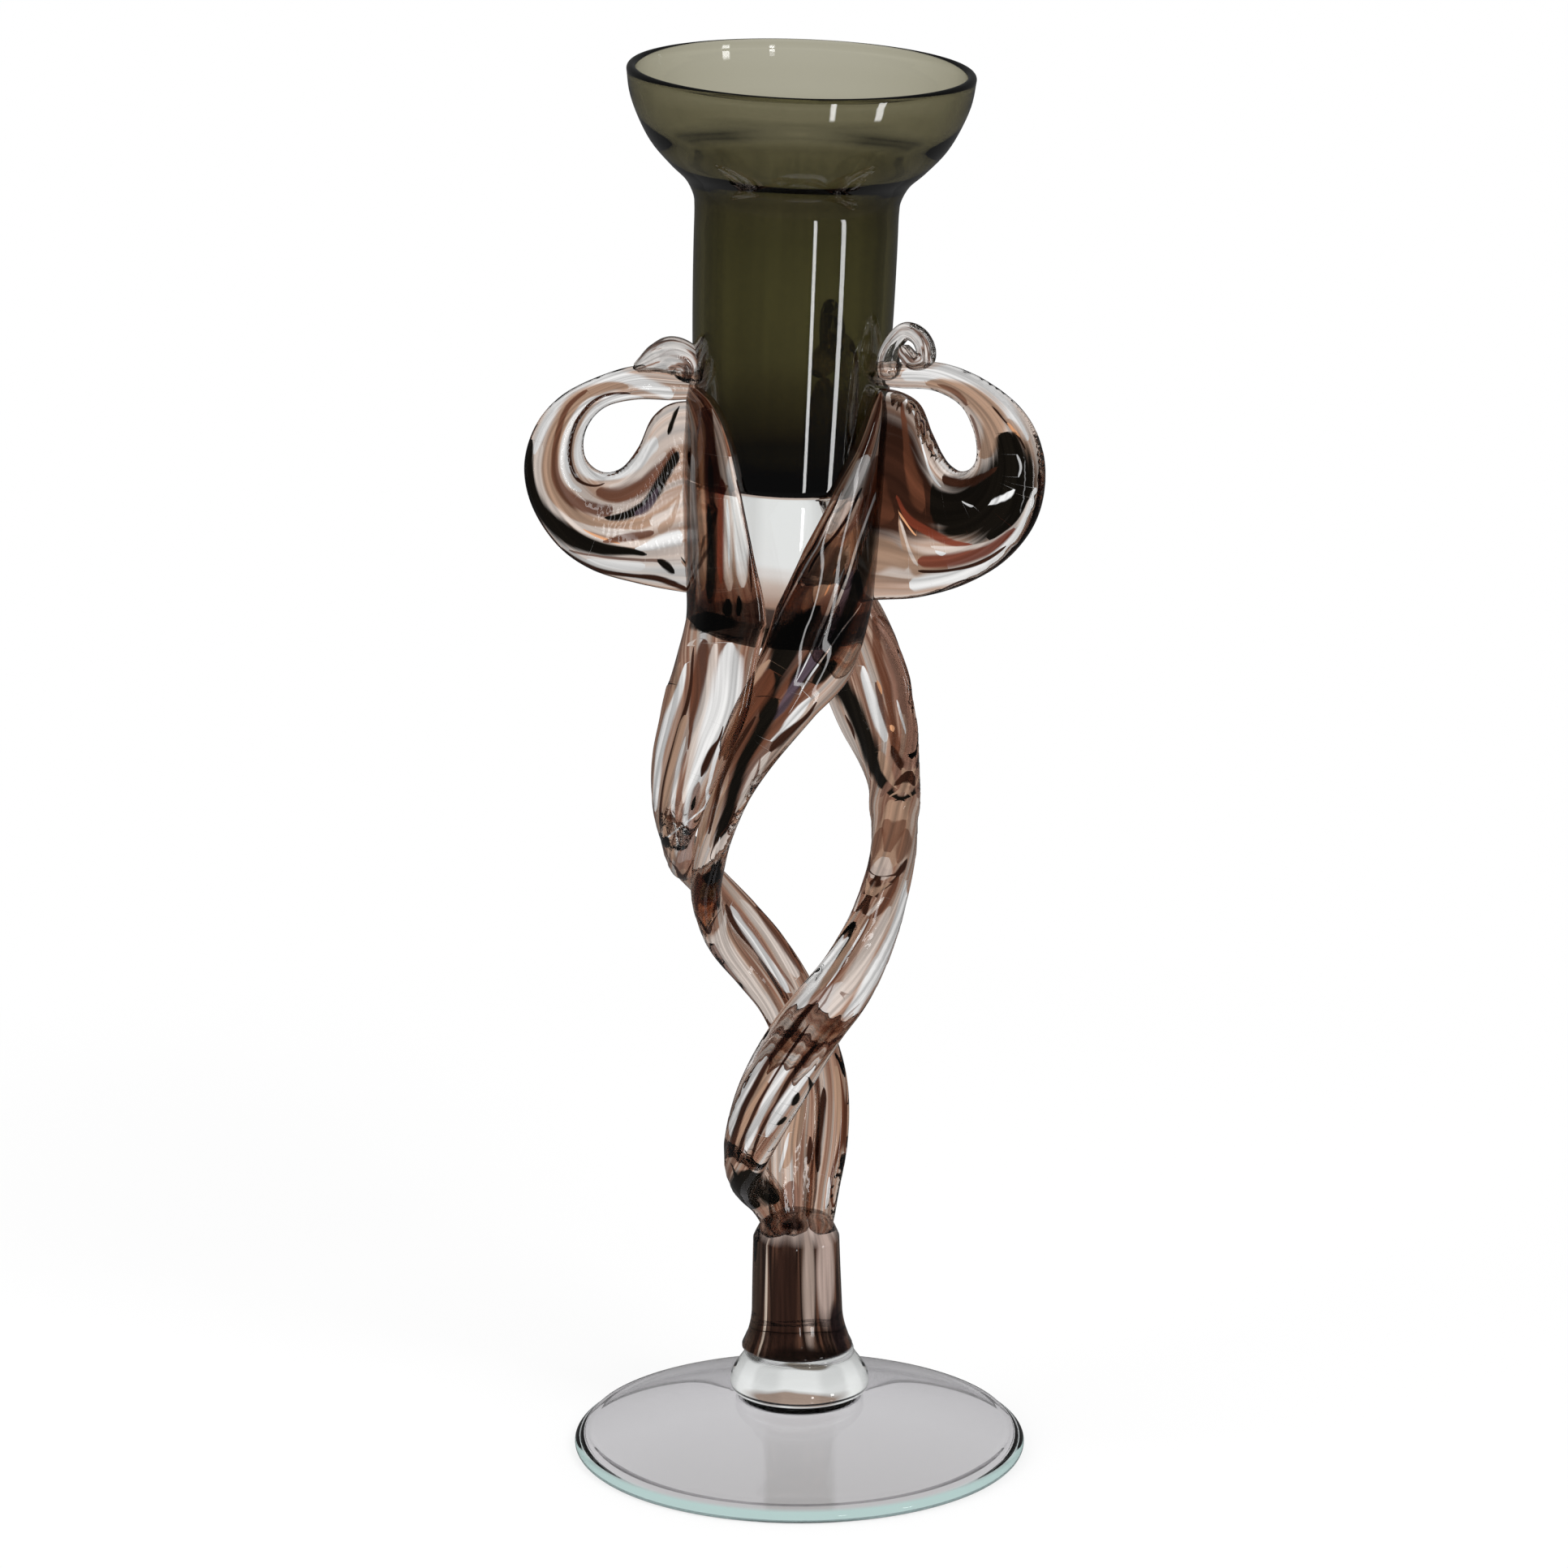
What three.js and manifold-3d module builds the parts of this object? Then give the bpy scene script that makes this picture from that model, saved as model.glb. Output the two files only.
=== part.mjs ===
// A hand made glass vase: an olive cup on a clear glass base, carried by three streaked strands that
// wind round each other down to a stump, a clear ring and a wide foot.
// Each strand starts as a leaf on the cup, with an ear shaped loop and a small curl above it.
// Sizes are in millimetres with +Z up. The origin is on the table, under the middle of the whole vase.

import * as THREE from "three";
import { mergeVertices } from "three/addons/utils/BufferGeometryUtils.js";
import Module from "manifold-3d";

// Seam left between pieces that are fused on the real vase
const SEAM = 0.3;

// Middle of the foot, off the origin because the ears reach further on one side
const FOOT_X = 3.7;
const FOOT_Y = -1.5;

// Foot: a blown cone with a rounded edge, hollow underneath, standing on a flat ring
const FOOT_RADIUS = 51.6;
const FOOT_EDGE = 3.3;
const FOOT_RISE = 10.7;
const FOOT_SLOPE = 0.72;
const FOOT_SEAT_RADIUS = 13.5;
const FOOT_MIDDLE = 5.5;
const CONTACT_WIDTH = 5.5;
const FOOT_REST = 3.5;

// Clear ring between the foot and the stump
const RING_RADIUS = 15.7;
const RING_HEIGHT = 10;
const RING_NECK_RADIUS = 12.6;
const RING_WAIST = 0.985;
const RING_WAIST_LEVEL = 0.8;

// Stump that the strands run into
const STUMP_HEIGHT = 31.5;
const STUMP_RADIUS = 9.7;
const STUMP_FLARE = 2.4;
const STUMP_TAPER = 0.8;
const STUMP_FLUTE = 0.45;
const STUMP_SHIFT = -0.6;
const STUMP_FLARE_LEVEL = 0.3;
const STUMP_TOP_ROUND = 0.9;
const STUMP_FLUTES = 5;
const STUMP_FLUTE_TURN = 2;

// Strands from the stump to the clear base. A leaf's middle stands off the cup by a share of its depth.
const TWIST_HEIGHT = 141;
const TWIST_RADIUS = 24;
const STRAND_WIDTH = 14;
const STRAND_DEPTH = 8;
const STRAND_FLUTE = 0.5;
const STRAND_FLUTES = 3;
const TIP_WIDTH = 0.1;
const LEAF_STANDOFF = 0.28;
const WRAP_HEIGHT = 20;

// Clear base, tube and collar of the cup, and how far it leans. The base's height is above the level
// where the leaves reach it, and its underside lies a drop below that.
const BASE_HEIGHT = 31;
const BASE_DROP = 4.5;
const BASE_ROUND = 2.2;
const LEAF_HEIGHT = 22;
const TUBE_HEIGHT = 59;
const COLLAR_HEIGHT = 33;
const TUBE_RADIUS = 22.5;
const BODY_TAPER = 4.9;
const RIM_RADIUS = 38.4;
const TUBE_WALL = 2.5;
const RIM_WALL = 2.2;
const CUP_FLOOR = 4;
const FLOOR_ROUND = 2.8;
const SHOULDER_ROOM = 4;
const LEAN = THREE.MathUtils.degToRad(2);
const RIM_SHIFT = 0.35;

// Loops: how far their feet are above the underside of the base, and their lengthwise flutes
const LOOP_FOOT = 5;
const LEFT_TURN = -172;
const LEFT_REACH = 38.2;
const LEFT_HEIGHT = 53;
const LEFT_THICKNESS = 10.5;
const RIGHT_TURN = -25;
const RIGHT_REACH = 41;
const RIGHT_HEIGHT = 55.5;
const RIGHT_THICKNESS = 12;
const BACK_TURN = 70;
const BACK_REACH = 38.5;
const BACK_HEIGHT = 53;
const BACK_THICKNESS = 11;
const LOOP_FLUTE = 0.4;

// Curls of clear glass above the loops
const CURL_REACH = 10.8;
const CURL_ROD = 1.8;

// Levels of the pieces above the table
const SEAT_LEVEL = FOOT_EDGE + FOOT_RISE;
const STUMP_LEVEL = SEAT_LEVEL + RING_HEIGHT + 2 * SEAM;
const TWIST_LEVEL = STUMP_LEVEL + STUMP_HEIGHT;
const BASE_LEVEL = TWIST_LEVEL + TWIST_HEIGHT;
const CUP_LEVEL = BASE_LEVEL + BASE_HEIGHT;
const COLLAR_LEVEL = CUP_LEVEL + TUBE_HEIGHT;
const RIM_LEVEL = COLLAR_LEVEL + COLLAR_HEIGHT;
const LOOP_LEVEL = BASE_LEVEL + LOOP_FOOT;

// Facets
const TURN_STEPS = 36;
const SECTION_STEPS = 16;
const STRAND_STEPS = 40;
const LOOP_STEPS = 27;
const CURL_STEPS = 18;
const CURL_SIDES = 8;
const ROUND_STEPS = 3;
const TANGENT_STEP = 0.004;
const FLAT_BEND = 1e-6;
const WELD = 1e-4;

// Collar's outside and inside from its foot to the rim: shares of its height and of its flare
const COLLAR_OUTSIDE = [
  [0, 0],
  [0.13, 0.02],
  [0.25, 0.14],
  [0.36, 0.37],
  [0.51, 0.64],
  [0.67, 0.82],
  [0.84, 0.95],
  [1, 1],
];
const COLLAR_INSIDE = [
  [0.08, -0.02],
  [0.22, 0.02],
  [0.3, 0.14],
  [0.38, 0.36],
  [0.52, 0.63],
  [0.68, 0.83],
  [0.86, 0.96],
];

// Rows of a strand, from its leaf's tip down to the stump: level, turn in degrees, reach, width, depth
// and roll in degrees. Level counts 0 at the stump, 1 at the base, 2 at the cup's floor, 3 at the tip.
// Reach, width and depth are shares of TWIST_RADIUS, STRAND_WIDTH and STRAND_DEPTH, and a row above
// level 1 lies on the cup's body, so it has no reach.
const LEFT_ROWS = [
  [3.0, -176, 0, 0.15, 0.3, 0],
  [2.6, -155, 0, 1.33, 0.45, 0],
  [2.0, -152, 0, 1.85, 0.58, 0],
  [1.5, -149, 0, 2.08, 0.64, 0],
  [1.04, -143.5, 0, 2.1, 0.75, 0],
  [0.905, -133.5, 1.02, 1.58, 0.9, -10],
  [0.84, -138, 1.1, 1.37, 0.95, -16],
  [0.77, -145, 1.16, 1.2, 0.95, -20],
  [0.7, -154, 1.15, 1.0, 0.95, -18],
  [0.63, -172, 1.03, 0.82, 0.95, -8],
  [0.585, -193, 0.97, 0.7, 0.92, 0],
  [0.545, -210, 0.94, 0.63, 0.9, 0],
  [0.47, -236, 0.85, 0.61, 0.9, 0],
  [0.41, -254, 0.725, 0.61, 0.9, 0],
  [0.32, -280, 0.615, 0.6, 0.92, 0],
  [0.19, -309, 0.55, 0.6, 0.95, 0],
  [0.1, -317, 0.44, 0.64, 0.95, 0],
  [0.03, -317, 0.32, 0.68, 0.85, 0],
  [-0.05, -317, 0.23, 0.6, 0.7, 0],
];
const RIGHT_ROWS = [
  [3.0, -27, 0, 0.15, 0.3, 0],
  [2.7, -27, 0, 0.6, 0.4, 0],
  [2.35, -30, 0, 0.95, 0.47, 0],
  [1.93, -37, 0, 1.4, 0.57, 0],
  [1.5, -45, 0, 1.8, 0.64, 0],
  [1.04, -60, 0, 1.8, 0.75, 0],
  [0.906, -90, 0.84, 1.24, 0.85, 0],
  [0.826, -111, 0.835, 1.0, 0.88, 0],
  [0.753, -127.5, 0.83, 0.82, 0.9, 0],
  [0.68, -142, 0.815, 0.68, 0.9, 0],
  [0.6, -161, 0.785, 0.58, 0.88, 0],
  [0.52, -187, 0.775, 0.56, 0.85, 0],
  [0.446, -209, 0.75, 0.57, 0.8, 0],
  [0.376, -236, 0.68, 0.56, 0.8, 0],
  [0.307, -259, 0.585, 0.54, 0.8, 0],
  [0.187, -282, 0.42, 0.6, 0.8, 0],
  [0.1, -264, 0.28, 0.96, 0.8, 0],
  [0.03, -256, 0.19, 0.92, 0.75, 0],
  [-0.05, -250, 0.12, 0.6, 0.65, 0],
];
const BACK_ROWS = [
  [3.0, 70, 0, 0.15, 0.3, 0],
  [2.6, 67, 0, 1.2, 0.45, 0],
  [2.0, 61, 0, 1.8, 0.58, 0],
  [1.5, 53, 0, 1.95, 0.64, 0],
  [1.04, 43, 0, 1.9, 0.75, 0],
  [0.908, 38, 0.91, 1.76, 0.9, -14],
  [0.828, 31, 0.97, 1.55, 0.95, -24],
  [0.775, 23, 1.02, 1.42, 1.1, -22],
  [0.72, 14, 1.035, 1.26, 1.26, -12],
  [0.66, 4, 1.01, 1.18, 1.3, 0],
  [0.6, -9, 0.98, 1.16, 1.25, 0],
  [0.504, -29, 0.89, 1.24, 1.2, 0],
  [0.43, -47, 0.79, 1.22, 1.1, 0],
  [0.351, -75, 0.67, 1.12, 1.05, 0],
  [0.243, -109, 0.585, 1.08, 1.0, 0],
  [0.148, -140, 0.55, 1.02, 1.05, 0],
  [0.095, -160, 0.52, 0.96, 1.08, 0],
  [0.055, -184, 0.43, 0.88, 1.02, 0],
  [0.01, -204, 0.28, 0.72, 0.9, 0],
  [-0.05, -215, 0.15, 0.5, 0.7, 0],
];

// Rows round an ear, from the rod at its top to the web at its foot: the outline and the hole's edge,
// each as shares of the ear's reach and height, and a share of its thickness.
const LEFT_EAR = [
  [-0.09, 0.95, -0.09, 0.845, 0.5],
  [0.1, 0.975, 0.12, 0.84, 0.62],
  [0.33, 0.99, 0.33, 0.848, 0.66],
  [0.58, 0.94, 0.51, 0.822, 0.68],
  [0.78, 0.865, 0.6, 0.765, 0.76],
  [0.92, 0.75, 0.645, 0.69, 0.88],
  [0.995, 0.59, 0.64, 0.61, 0.98],
  [0.97, 0.42, 0.59, 0.56, 1.0],
  [0.83, 0.235, 0.52, 0.538, 1.0],
  [0.64, 0.125, 0.43, 0.555, 0.97],
  [0.36, 0.055, 0.33, 0.64, 0.88],
  [0.16, 0.02, 0.24, 0.77, 0.76],
  [0.04, 0.006, 0.13, 0.826, 0.68],
  [-0.09, 0, -0.09, 0.832, 0.6],
];
const RIGHT_EAR = [
  [-0.09, 0.96, -0.09, 0.885, 0.5],
  [0.1, 0.985, 0.12, 0.882, 0.6],
  [0.35, 0.995, 0.33, 0.885, 0.62],
  [0.58, 0.95, 0.49, 0.835, 0.66],
  [0.81, 0.85, 0.565, 0.755, 0.78],
  [0.93, 0.74, 0.6, 0.68, 0.9],
  [0.995, 0.59, 0.6, 0.62, 1.0],
  [0.975, 0.4, 0.56, 0.58, 1.05],
  [0.84, 0.235, 0.49, 0.568, 1.05],
  [0.62, 0.115, 0.41, 0.605, 1.0],
  [0.36, 0.04, 0.32, 0.71, 0.9],
  [0.17, 0.015, 0.235, 0.825, 0.76],
  [0.04, 0.004, 0.12, 0.866, 0.68],
  [-0.09, 0, -0.09, 0.872, 0.6],
];

// Rows along a curl, from the ear's back over to the cup's wall or round once: out from the wall, up
// from the ear's top and aside, as shares of CURL_REACH, and the rod's radius as a share of CURL_ROD.
const LEFT_CURL = [
  [1.22, -0.11, 0, 0.39],
  [0.98, 0.03, 0, 1],
  [0.7, 0.185, 0, 1.5],
  [0.425, 0.26, 0.02, 1.67],
  [0.185, 0.14, 0.03, 1.56],
  [0.085, -0.15, 0.02, 1.4],
  [0.15, -0.46, 0, 1.22],
];
const RIGHT_CURL = [
  [0.37, -0.41, -0.22, 1.67],
  [0.185, -0.07, -0.15, 1.17],
  [0.24, 0.35, -0.06, 0.89],
  [0.48, 0.63, 0, 0.89],
  [0.77, 0.55, 0.02, 0.94],
  [0.98, 0.28, -0.02, 1],
  [1, 0.04, -0.08, 1],
  [0.8, -0.02, -0.15, 0.89],
  [0.61, 0.17, -0.2, 0.83],
  [0.46, 0.33, -0.22, 0.5],
];

// Ears by their turn round the vase, reach beyond the tube, height and thickness, each with its curl
const EARS = [
  {
    name: "left",
    rows: LEFT_EAR,
    curlRows: LEFT_CURL,
    turn: LEFT_TURN,
    reach: LEFT_REACH,
    height: LEFT_HEIGHT,
    thickness: LEFT_THICKNESS,
  },
  {
    name: "right",
    rows: RIGHT_EAR,
    curlRows: RIGHT_CURL,
    turn: RIGHT_TURN,
    reach: RIGHT_REACH,
    height: RIGHT_HEIGHT,
    thickness: RIGHT_THICKNESS,
  },
  {
    name: "back",
    rows: LEFT_EAR,
    curlRows: RIGHT_CURL,
    turn: BACK_TURN,
    reach: BACK_REACH,
    height: BACK_HEIGHT,
    thickness: BACK_THICKNESS,
  },
];

const wasm = await Module();
wasm.setup();

const { lerp, degToRad, clamp } = THREE.MathUtils;

// A closed mesh as a solid that can be cut
function solidOf(geometry) {
  const bare = geometry.clone();
  bare.deleteAttribute("normal");
  bare.deleteAttribute("uv");
  const merged = mergeVertices(bare, WELD);
  const vertProperties = new Float32Array(merged.attributes.position.array);
  const triVerts = new Uint32Array(merged.index.array);
  return new wasm.Manifold(new wasm.Mesh({ numProp: 3, vertProperties, triVerts }));
}

// A solid as a mesh's geometry
function geometryOf(solid) {
  const { vertProperties, triVerts } = solid.getMesh();
  const indexed = new THREE.BufferGeometry();
  indexed.setAttribute("position", new THREE.BufferAttribute(vertProperties, 3));
  indexed.setIndex(new THREE.BufferAttribute(triVerts, 1));
  const geometry = indexed.toNonIndexed();
  geometry.computeVertexNormals();
  return geometry;
}

// The largest body of a cut solid, without the crumbs that a cut leaves beyond its neighbour
function largest(solid) {
  const bodies = solid.decompose();
  return bodies.reduce((best, body) => (body.volume() > best.volume() ? body : best));
}

// A turned solid from a profile of [radius, height] pairs that starts and ends on the axis
function turned(profile) {
  const points = profile.map(([radius, height]) => new THREE.Vector2(radius, height));
  return new THREE.LatheGeometry(points, TURN_STEPS).rotateX(Math.PI / 2);
}

// Points of an arc as [radius, height] pairs
function arc(centre, radius, from, to, steps) {
  return Array.from({ length: steps + 1 }, (_, i) => {
    const angle = degToRad(lerp(from, to, i / steps));
    return [centre[0] + radius * Math.cos(angle), centre[1] + radius * Math.sin(angle)];
  });
}

// A skin over rings of points, closed on the middle of its two ends
function loft(rings) {
  const sides = rings[0].length;
  const middle = (ring) =>
    ring.reduce((sum, p) => sum.add(p), new THREE.Vector3()).divideScalar(sides);
  const points = [...rings.flat(), middle(rings[0]), middle(rings.at(-1))];
  const first = rings.length * sides;
  const last = first + 1;
  const end = (rings.length - 1) * sides;
  const index = [];
  for (let side = 0; side < sides; side++) {
    const next = (side + 1) % sides;
    index.push(first, next, side);
    index.push(last, end + side, end + next);
    for (let ring = 0; ring < rings.length - 1; ring++) {
      const near = ring * sides;
      const far = near + sides;
      index.push(near + side, near + next, far + side);
      index.push(near + next, far + next, far + side);
    }
  }
  const geometry = new THREE.BufferGeometry().setFromPoints(points);
  geometry.setIndex(index);
  return geometry;
}

// The vase's middle line: it leans with the cup, and runs back to the stump below it
function middleAt(height) {
  const atHeight = (h) => RIM_SHIFT - (RIM_LEVEL - h) * Math.tan(LEAN);
  if (height > BASE_LEVEL) return atHeight(height);
  const share = clamp((height - TWIST_LEVEL) / TWIST_HEIGHT, 0, 1);
  return lerp(STUMP_SHIFT, atHeight(BASE_LEVEL), share);
}

// A point at a turn and a distance from the middle line
function aroundMiddle(turn, reach, height) {
  const angle = degToRad(turn);
  return new THREE.Vector3(
    middleAt(height) + reach * Math.cos(angle),
    reach * Math.sin(angle),
    height,
  );
}

// Outside radius of the clear base and the tube
function bodyRadius(height) {
  const share = (COLLAR_LEVEL - height) / (COLLAR_LEVEL - BASE_LEVEL);
  return TUBE_RADIUS - BODY_TAPER * clamp(share, 0, 1) ** 2;
}

// A side of the collar as [radius, height] pairs, from its radius at the tube to its radius at the rim
function collarSide(rows, tube, rim) {
  const top = RIM_LEVEL - RIM_WALL / 2;
  return rows.map(([up, flare]) => [lerp(tube, rim, flare), lerp(COLLAR_LEVEL, top, up)]);
}

// The cup and its base lean together about the middle of the rim
function leaned(geometry) {
  return geometry.translate(0, 0, -RIM_LEVEL).rotateY(LEAN).translate(RIM_SHIFT, 0, RIM_LEVEL);
}

function steps(count, from, to) {
  return Array.from({ length: count }, (_, i) => lerp(from, to, i / (count - 1)));
}

function cup(grow) {
  const lip = RIM_WALL / 2;
  const shoulder = COLLAR_LEVEL - SHOULDER_ROOM;
  const tube = steps(5, CUP_LEVEL - grow, shoulder).map((h) => [bodyRadius(h) + grow, h]);
  const bowl = collarSide(COLLAR_OUTSIDE, TUBE_RADIUS + grow, RIM_RADIUS + grow);
  const rim = arc([RIM_RADIUS - lip, RIM_LEVEL - lip], lip, 45, 180, ROUND_STEPS);
  const inside = collarSide(COLLAR_INSIDE, TUBE_RADIUS - TUBE_WALL, RIM_RADIUS - RIM_WALL).reverse();
  const floor = CUP_LEVEL + CUP_FLOOR;
  const bore = steps(4, shoulder, floor + FLOOR_ROUND).map((h) => [bodyRadius(h) - TUBE_WALL, h]);
  const corner = [bodyRadius(floor) - TUBE_WALL - FLOOR_ROUND, floor];
  const outside = [[0, CUP_LEVEL - grow], ...tube, ...bowl, ...rim];
  return turned([...outside, ...inside, ...bore, corner, [0, floor]]);
}

function cupBase(grow) {
  const top = CUP_LEVEL - SEAM + grow;
  const bottom = BASE_LEVEL - BASE_DROP;
  const low = bottom + BASE_ROUND;
  const edge = arc([bodyRadius(low) - BASE_ROUND, low], BASE_ROUND + grow, -90, 0, ROUND_STEPS);
  const side = steps(4, low + BASE_ROUND, top).map((h) => [bodyRadius(h) + grow, h]);
  return turned([[0, bottom - grow], ...edge, ...side, [0, top]]);
}

// Half a strand's section at a share of the way round: across and out, with lengthwise flutes
function sectionPoint(angle, halfWidth, halfDepth, flute) {
  const across = Math.cos(angle);
  const out = Math.sin(angle);
  const ripple = flute * out * Math.cos(STRAND_FLUTES * Math.PI * across);
  return [halfWidth * across, halfDepth * out + ripple];
}

// Height of a strand's row from its level
function heightOf(level) {
  if (level > 2) return CUP_LEVEL + (level - 2) * LEAF_HEIGHT;
  if (level > 1) return BASE_LEVEL + (level - 1) * BASE_HEIGHT;
  return TWIST_LEVEL + level * TWIST_HEIGHT;
}

// Distance of a strand's row from the middle line: on the body above level 1, in the air below it
function reachOf([level, , reach, , depth]) {
  if (level < 1) return reach * TWIST_RADIUS;
  return bodyRadius(heightOf(level)) + LEAF_STANDOFF * depth * STRAND_DEPTH;
}

// A strand swept along its rows, grown on all sides when it serves as a cutter
function strand(rows, grow) {
  const route = new THREE.CatmullRomCurve3(
    rows.map((row) => new THREE.Vector3(row[1], reachOf(row), heightOf(row[0]))),
  );
  const shape = new THREE.CatmullRomCurve3(
    rows.map(([, , , width, depth, roll]) => new THREE.Vector3(width, depth, roll)),
  );
  const centre = (share) => {
    const p = route.getPoint(clamp(share, 0, 1));
    return aroundMiddle(p.x, p.y, p.z);
  };
  const rings = [];
  for (let step = 0; step <= STRAND_STEPS; step++) {
    const share = step / STRAND_STEPS;
    const at = centre(share);
    const along = centre(share + TANGENT_STEP).sub(centre(share - TANGENT_STEP)).normalize();
    const out = new THREE.Vector3(at.x - middleAt(at.z), at.y, 0).normalize();
    const across = new THREE.Vector3().crossVectors(along, out).normalize();
    const face = new THREE.Vector3().crossVectors(across, along).normalize();
    const { x: width, y: depth, z: roll } = shape.getPoint(share);
    across.applyAxisAngle(along, degToRad(roll));
    face.applyAxisAngle(along, degToRad(roll));
    const halfWidth = (Math.max(width, TIP_WIDTH) * STRAND_WIDTH) / 2 + grow;
    const halfDepth = (depth * STRAND_DEPTH) / 2 + grow;
    const wrap = clamp((at.z - BASE_LEVEL + WRAP_HEIGHT) / WRAP_HEIGHT, 0, 1);
    const reach = route.getPoint(share).y;
    const bend = (wrap * Math.hypot(across.x, across.y) ** 2) / reach;
    const flute = STRAND_FLUTE * Math.min(1, width) * Math.min(1, depth);
    const ring = [];
    for (let side = 0; side < SECTION_STEPS; side++) {
      const angle = (-2 * Math.PI * side) / SECTION_STEPS;
      const [u, v] = sectionPoint(angle, halfWidth, halfDepth, flute);
      const swing = u * bend;
      const sideways = bend > FLAT_BEND ? ((1 + v * bend) * Math.sin(swing)) / bend : u;
      const outwards = bend > FLAT_BEND ? ((1 + v * bend) * Math.cos(swing) - 1) / bend : v;
      ring.push(at.clone().addScaledVector(across, sideways).addScaledVector(face, outwards));
    }
    rings.push(ring);
  }
  return loft(rings);
}

// An ear: a section that runs round the hole in the plane of one turn
function ear({ rows, turn, reach, height, thickness }, grow) {
  const place = (out, up) => {
    const level = LOOP_LEVEL + up * height;
    return [bodyRadius(level) + out * reach, level];
  };
  const outline = new THREE.CatmullRomCurve3(
    rows.map(([out, up, , , thick]) => new THREE.Vector3(...place(out, up), thick)),
  );
  const hole = new THREE.CatmullRomCurve3(
    rows.map(([, , out, up]) => new THREE.Vector3(...place(out, up), 0)),
  );
  const sideways = new THREE.Vector3(-Math.sin(degToRad(turn)), Math.cos(degToRad(turn)), 0);
  const rings = [];
  for (let step = 0; step <= LOOP_STEPS; step++) {
    const outer = outline.getPoint(step / LOOP_STEPS);
    const inner = hole.getPoint(step / LOOP_STEPS);
    const from = aroundMiddle(turn, inner.x, inner.y);
    const to = aroundMiddle(turn, outer.x, outer.y);
    const centre = from.clone().lerp(to, 0.5);
    const across = to.clone().sub(from);
    const halfWidth = across.length() / 2 + grow;
    const halfDepth = (outer.z * thickness) / 2 + grow;
    across.normalize();
    const ring = [];
    for (let side = 0; side < SECTION_STEPS; side++) {
      const angle = (-2 * Math.PI * side) / SECTION_STEPS;
      const [u, v] = sectionPoint(angle, halfWidth, halfDepth, LOOP_FLUTE);
      ring.push(centre.clone().addScaledVector(across, u).addScaledVector(sideways, v));
    }
    rings.push(ring);
  }
  return loft(rings);
}

// A curl: a rod along its rows, in the plane of its ear and beside it
function curl({ curlRows, turn, height }) {
  const top = LOOP_LEVEL + height;
  const angle = degToRad(turn + 90);
  const sideways = new THREE.Vector3(Math.cos(angle), Math.sin(angle), 0);
  const path = curlRows.map(([out, up, aside]) => {
    const level = top + up * CURL_REACH;
    const at = aroundMiddle(turn, bodyRadius(level) + out * CURL_REACH, level);
    return at.addScaledVector(sideways, aside * CURL_REACH);
  });
  const route = new THREE.CatmullRomCurve3(path);
  const rods = new THREE.CatmullRomCurve3(curlRows.map((row, i) => new THREE.Vector3(row[3], i, 0)));
  const frames = route.computeFrenetFrames(CURL_STEPS);
  const rings = [];
  for (let step = 0; step <= CURL_STEPS; step++) {
    const at = route.getPointAt(step / CURL_STEPS);
    const rod = rods.getPoint(route.getUtoTmapping(step / CURL_STEPS)).x * CURL_ROD;
    const ring = [];
    for (let side = 0; side < CURL_SIDES; side++) {
      const around = (2 * Math.PI * side) / CURL_SIDES;
      const point = at.clone().addScaledVector(frames.normals[step], rod * Math.cos(around));
      ring.push(point.addScaledVector(frames.binormals[step], rod * Math.sin(around)));
    }
    rings.push(ring);
  }
  return loft(rings);
}

// The stump: fluted by the strands that run into it, and flared on the ring
function stump(grow) {
  const rings = [];
  for (const share of [0, 0.06, 0.14, 0.28, 0.5, 0.75, 0.95, 1]) {
    const spread = (1 - Math.min(1, share / STUMP_FLARE_LEVEL)) ** 2;
    const flare = STUMP_FLARE * spread + STUMP_TAPER * (1 - share);
    const round = share === 1 ? STUMP_TOP_ROUND : 1;
    const height = lerp(STUMP_LEVEL - grow, TWIST_LEVEL + grow, share);
    const ring = [];
    for (let side = 0; side < SECTION_STEPS; side++) {
      const angle = (2 * Math.PI * side) / SECTION_STEPS;
      const flute = STUMP_FLUTE * Math.cos(STUMP_FLUTES * angle + STUMP_FLUTE_TURN * share);
      const radius = (STUMP_RADIUS + flare + flute) * round + grow;
      ring.push(
        new THREE.Vector3(STUMP_SHIFT + radius * Math.cos(angle), radius * Math.sin(angle), height),
      );
    }
    rings.push(ring);
  }
  return loft(rings);
}

function clearRing() {
  const foot = SEAT_LEVEL + SEAM;
  const top = foot + RING_HEIGHT;
  const belly = RING_RADIUS - RING_NECK_RADIUS;
  const side = arc([RING_NECK_RADIUS, foot + belly], belly, -90, 75, 6);
  const neck = [RING_NECK_RADIUS * RING_WAIST, foot + RING_WAIST_LEVEL * RING_HEIGHT];
  return turned([[0, foot], ...side, neck, [RING_NECK_RADIUS, top], [0, top]]);
}

function foot() {
  const edge = FOOT_EDGE / 2;
  const contact = FOOT_RADIUS - edge;
  const rimArc = arc([contact, edge], edge, -75, 75, 4);
  const topAt = (radius) => {
    const share = (FOOT_RADIUS - radius) / (FOOT_RADIUS - FOOT_SEAT_RADIUS);
    return FOOT_EDGE + FOOT_RISE * share ** FOOT_SLOPE;
  };
  const slope = steps(6, contact - edge, FOOT_SEAT_RADIUS).map((r) => [r, topAt(r)]);
  const hollowRadius = contact - CONTACT_WIDTH;
  const ceiling = SEAT_LEVEL - FOOT_MIDDLE;
  const hollow = steps(6, FOOT_SEAT_RADIUS, hollowRadius).map((r) => [
    r,
    Math.min(ceiling, topAt(r) - FOOT_EDGE),
  ]);
  const underside = [[0, ceiling], ...hollow, [contact - FOOT_REST, 0], [contact, 0]];
  return turned([...underside, ...rimArc, ...slope, [0, SEAT_LEVEL]]);
}

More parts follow.
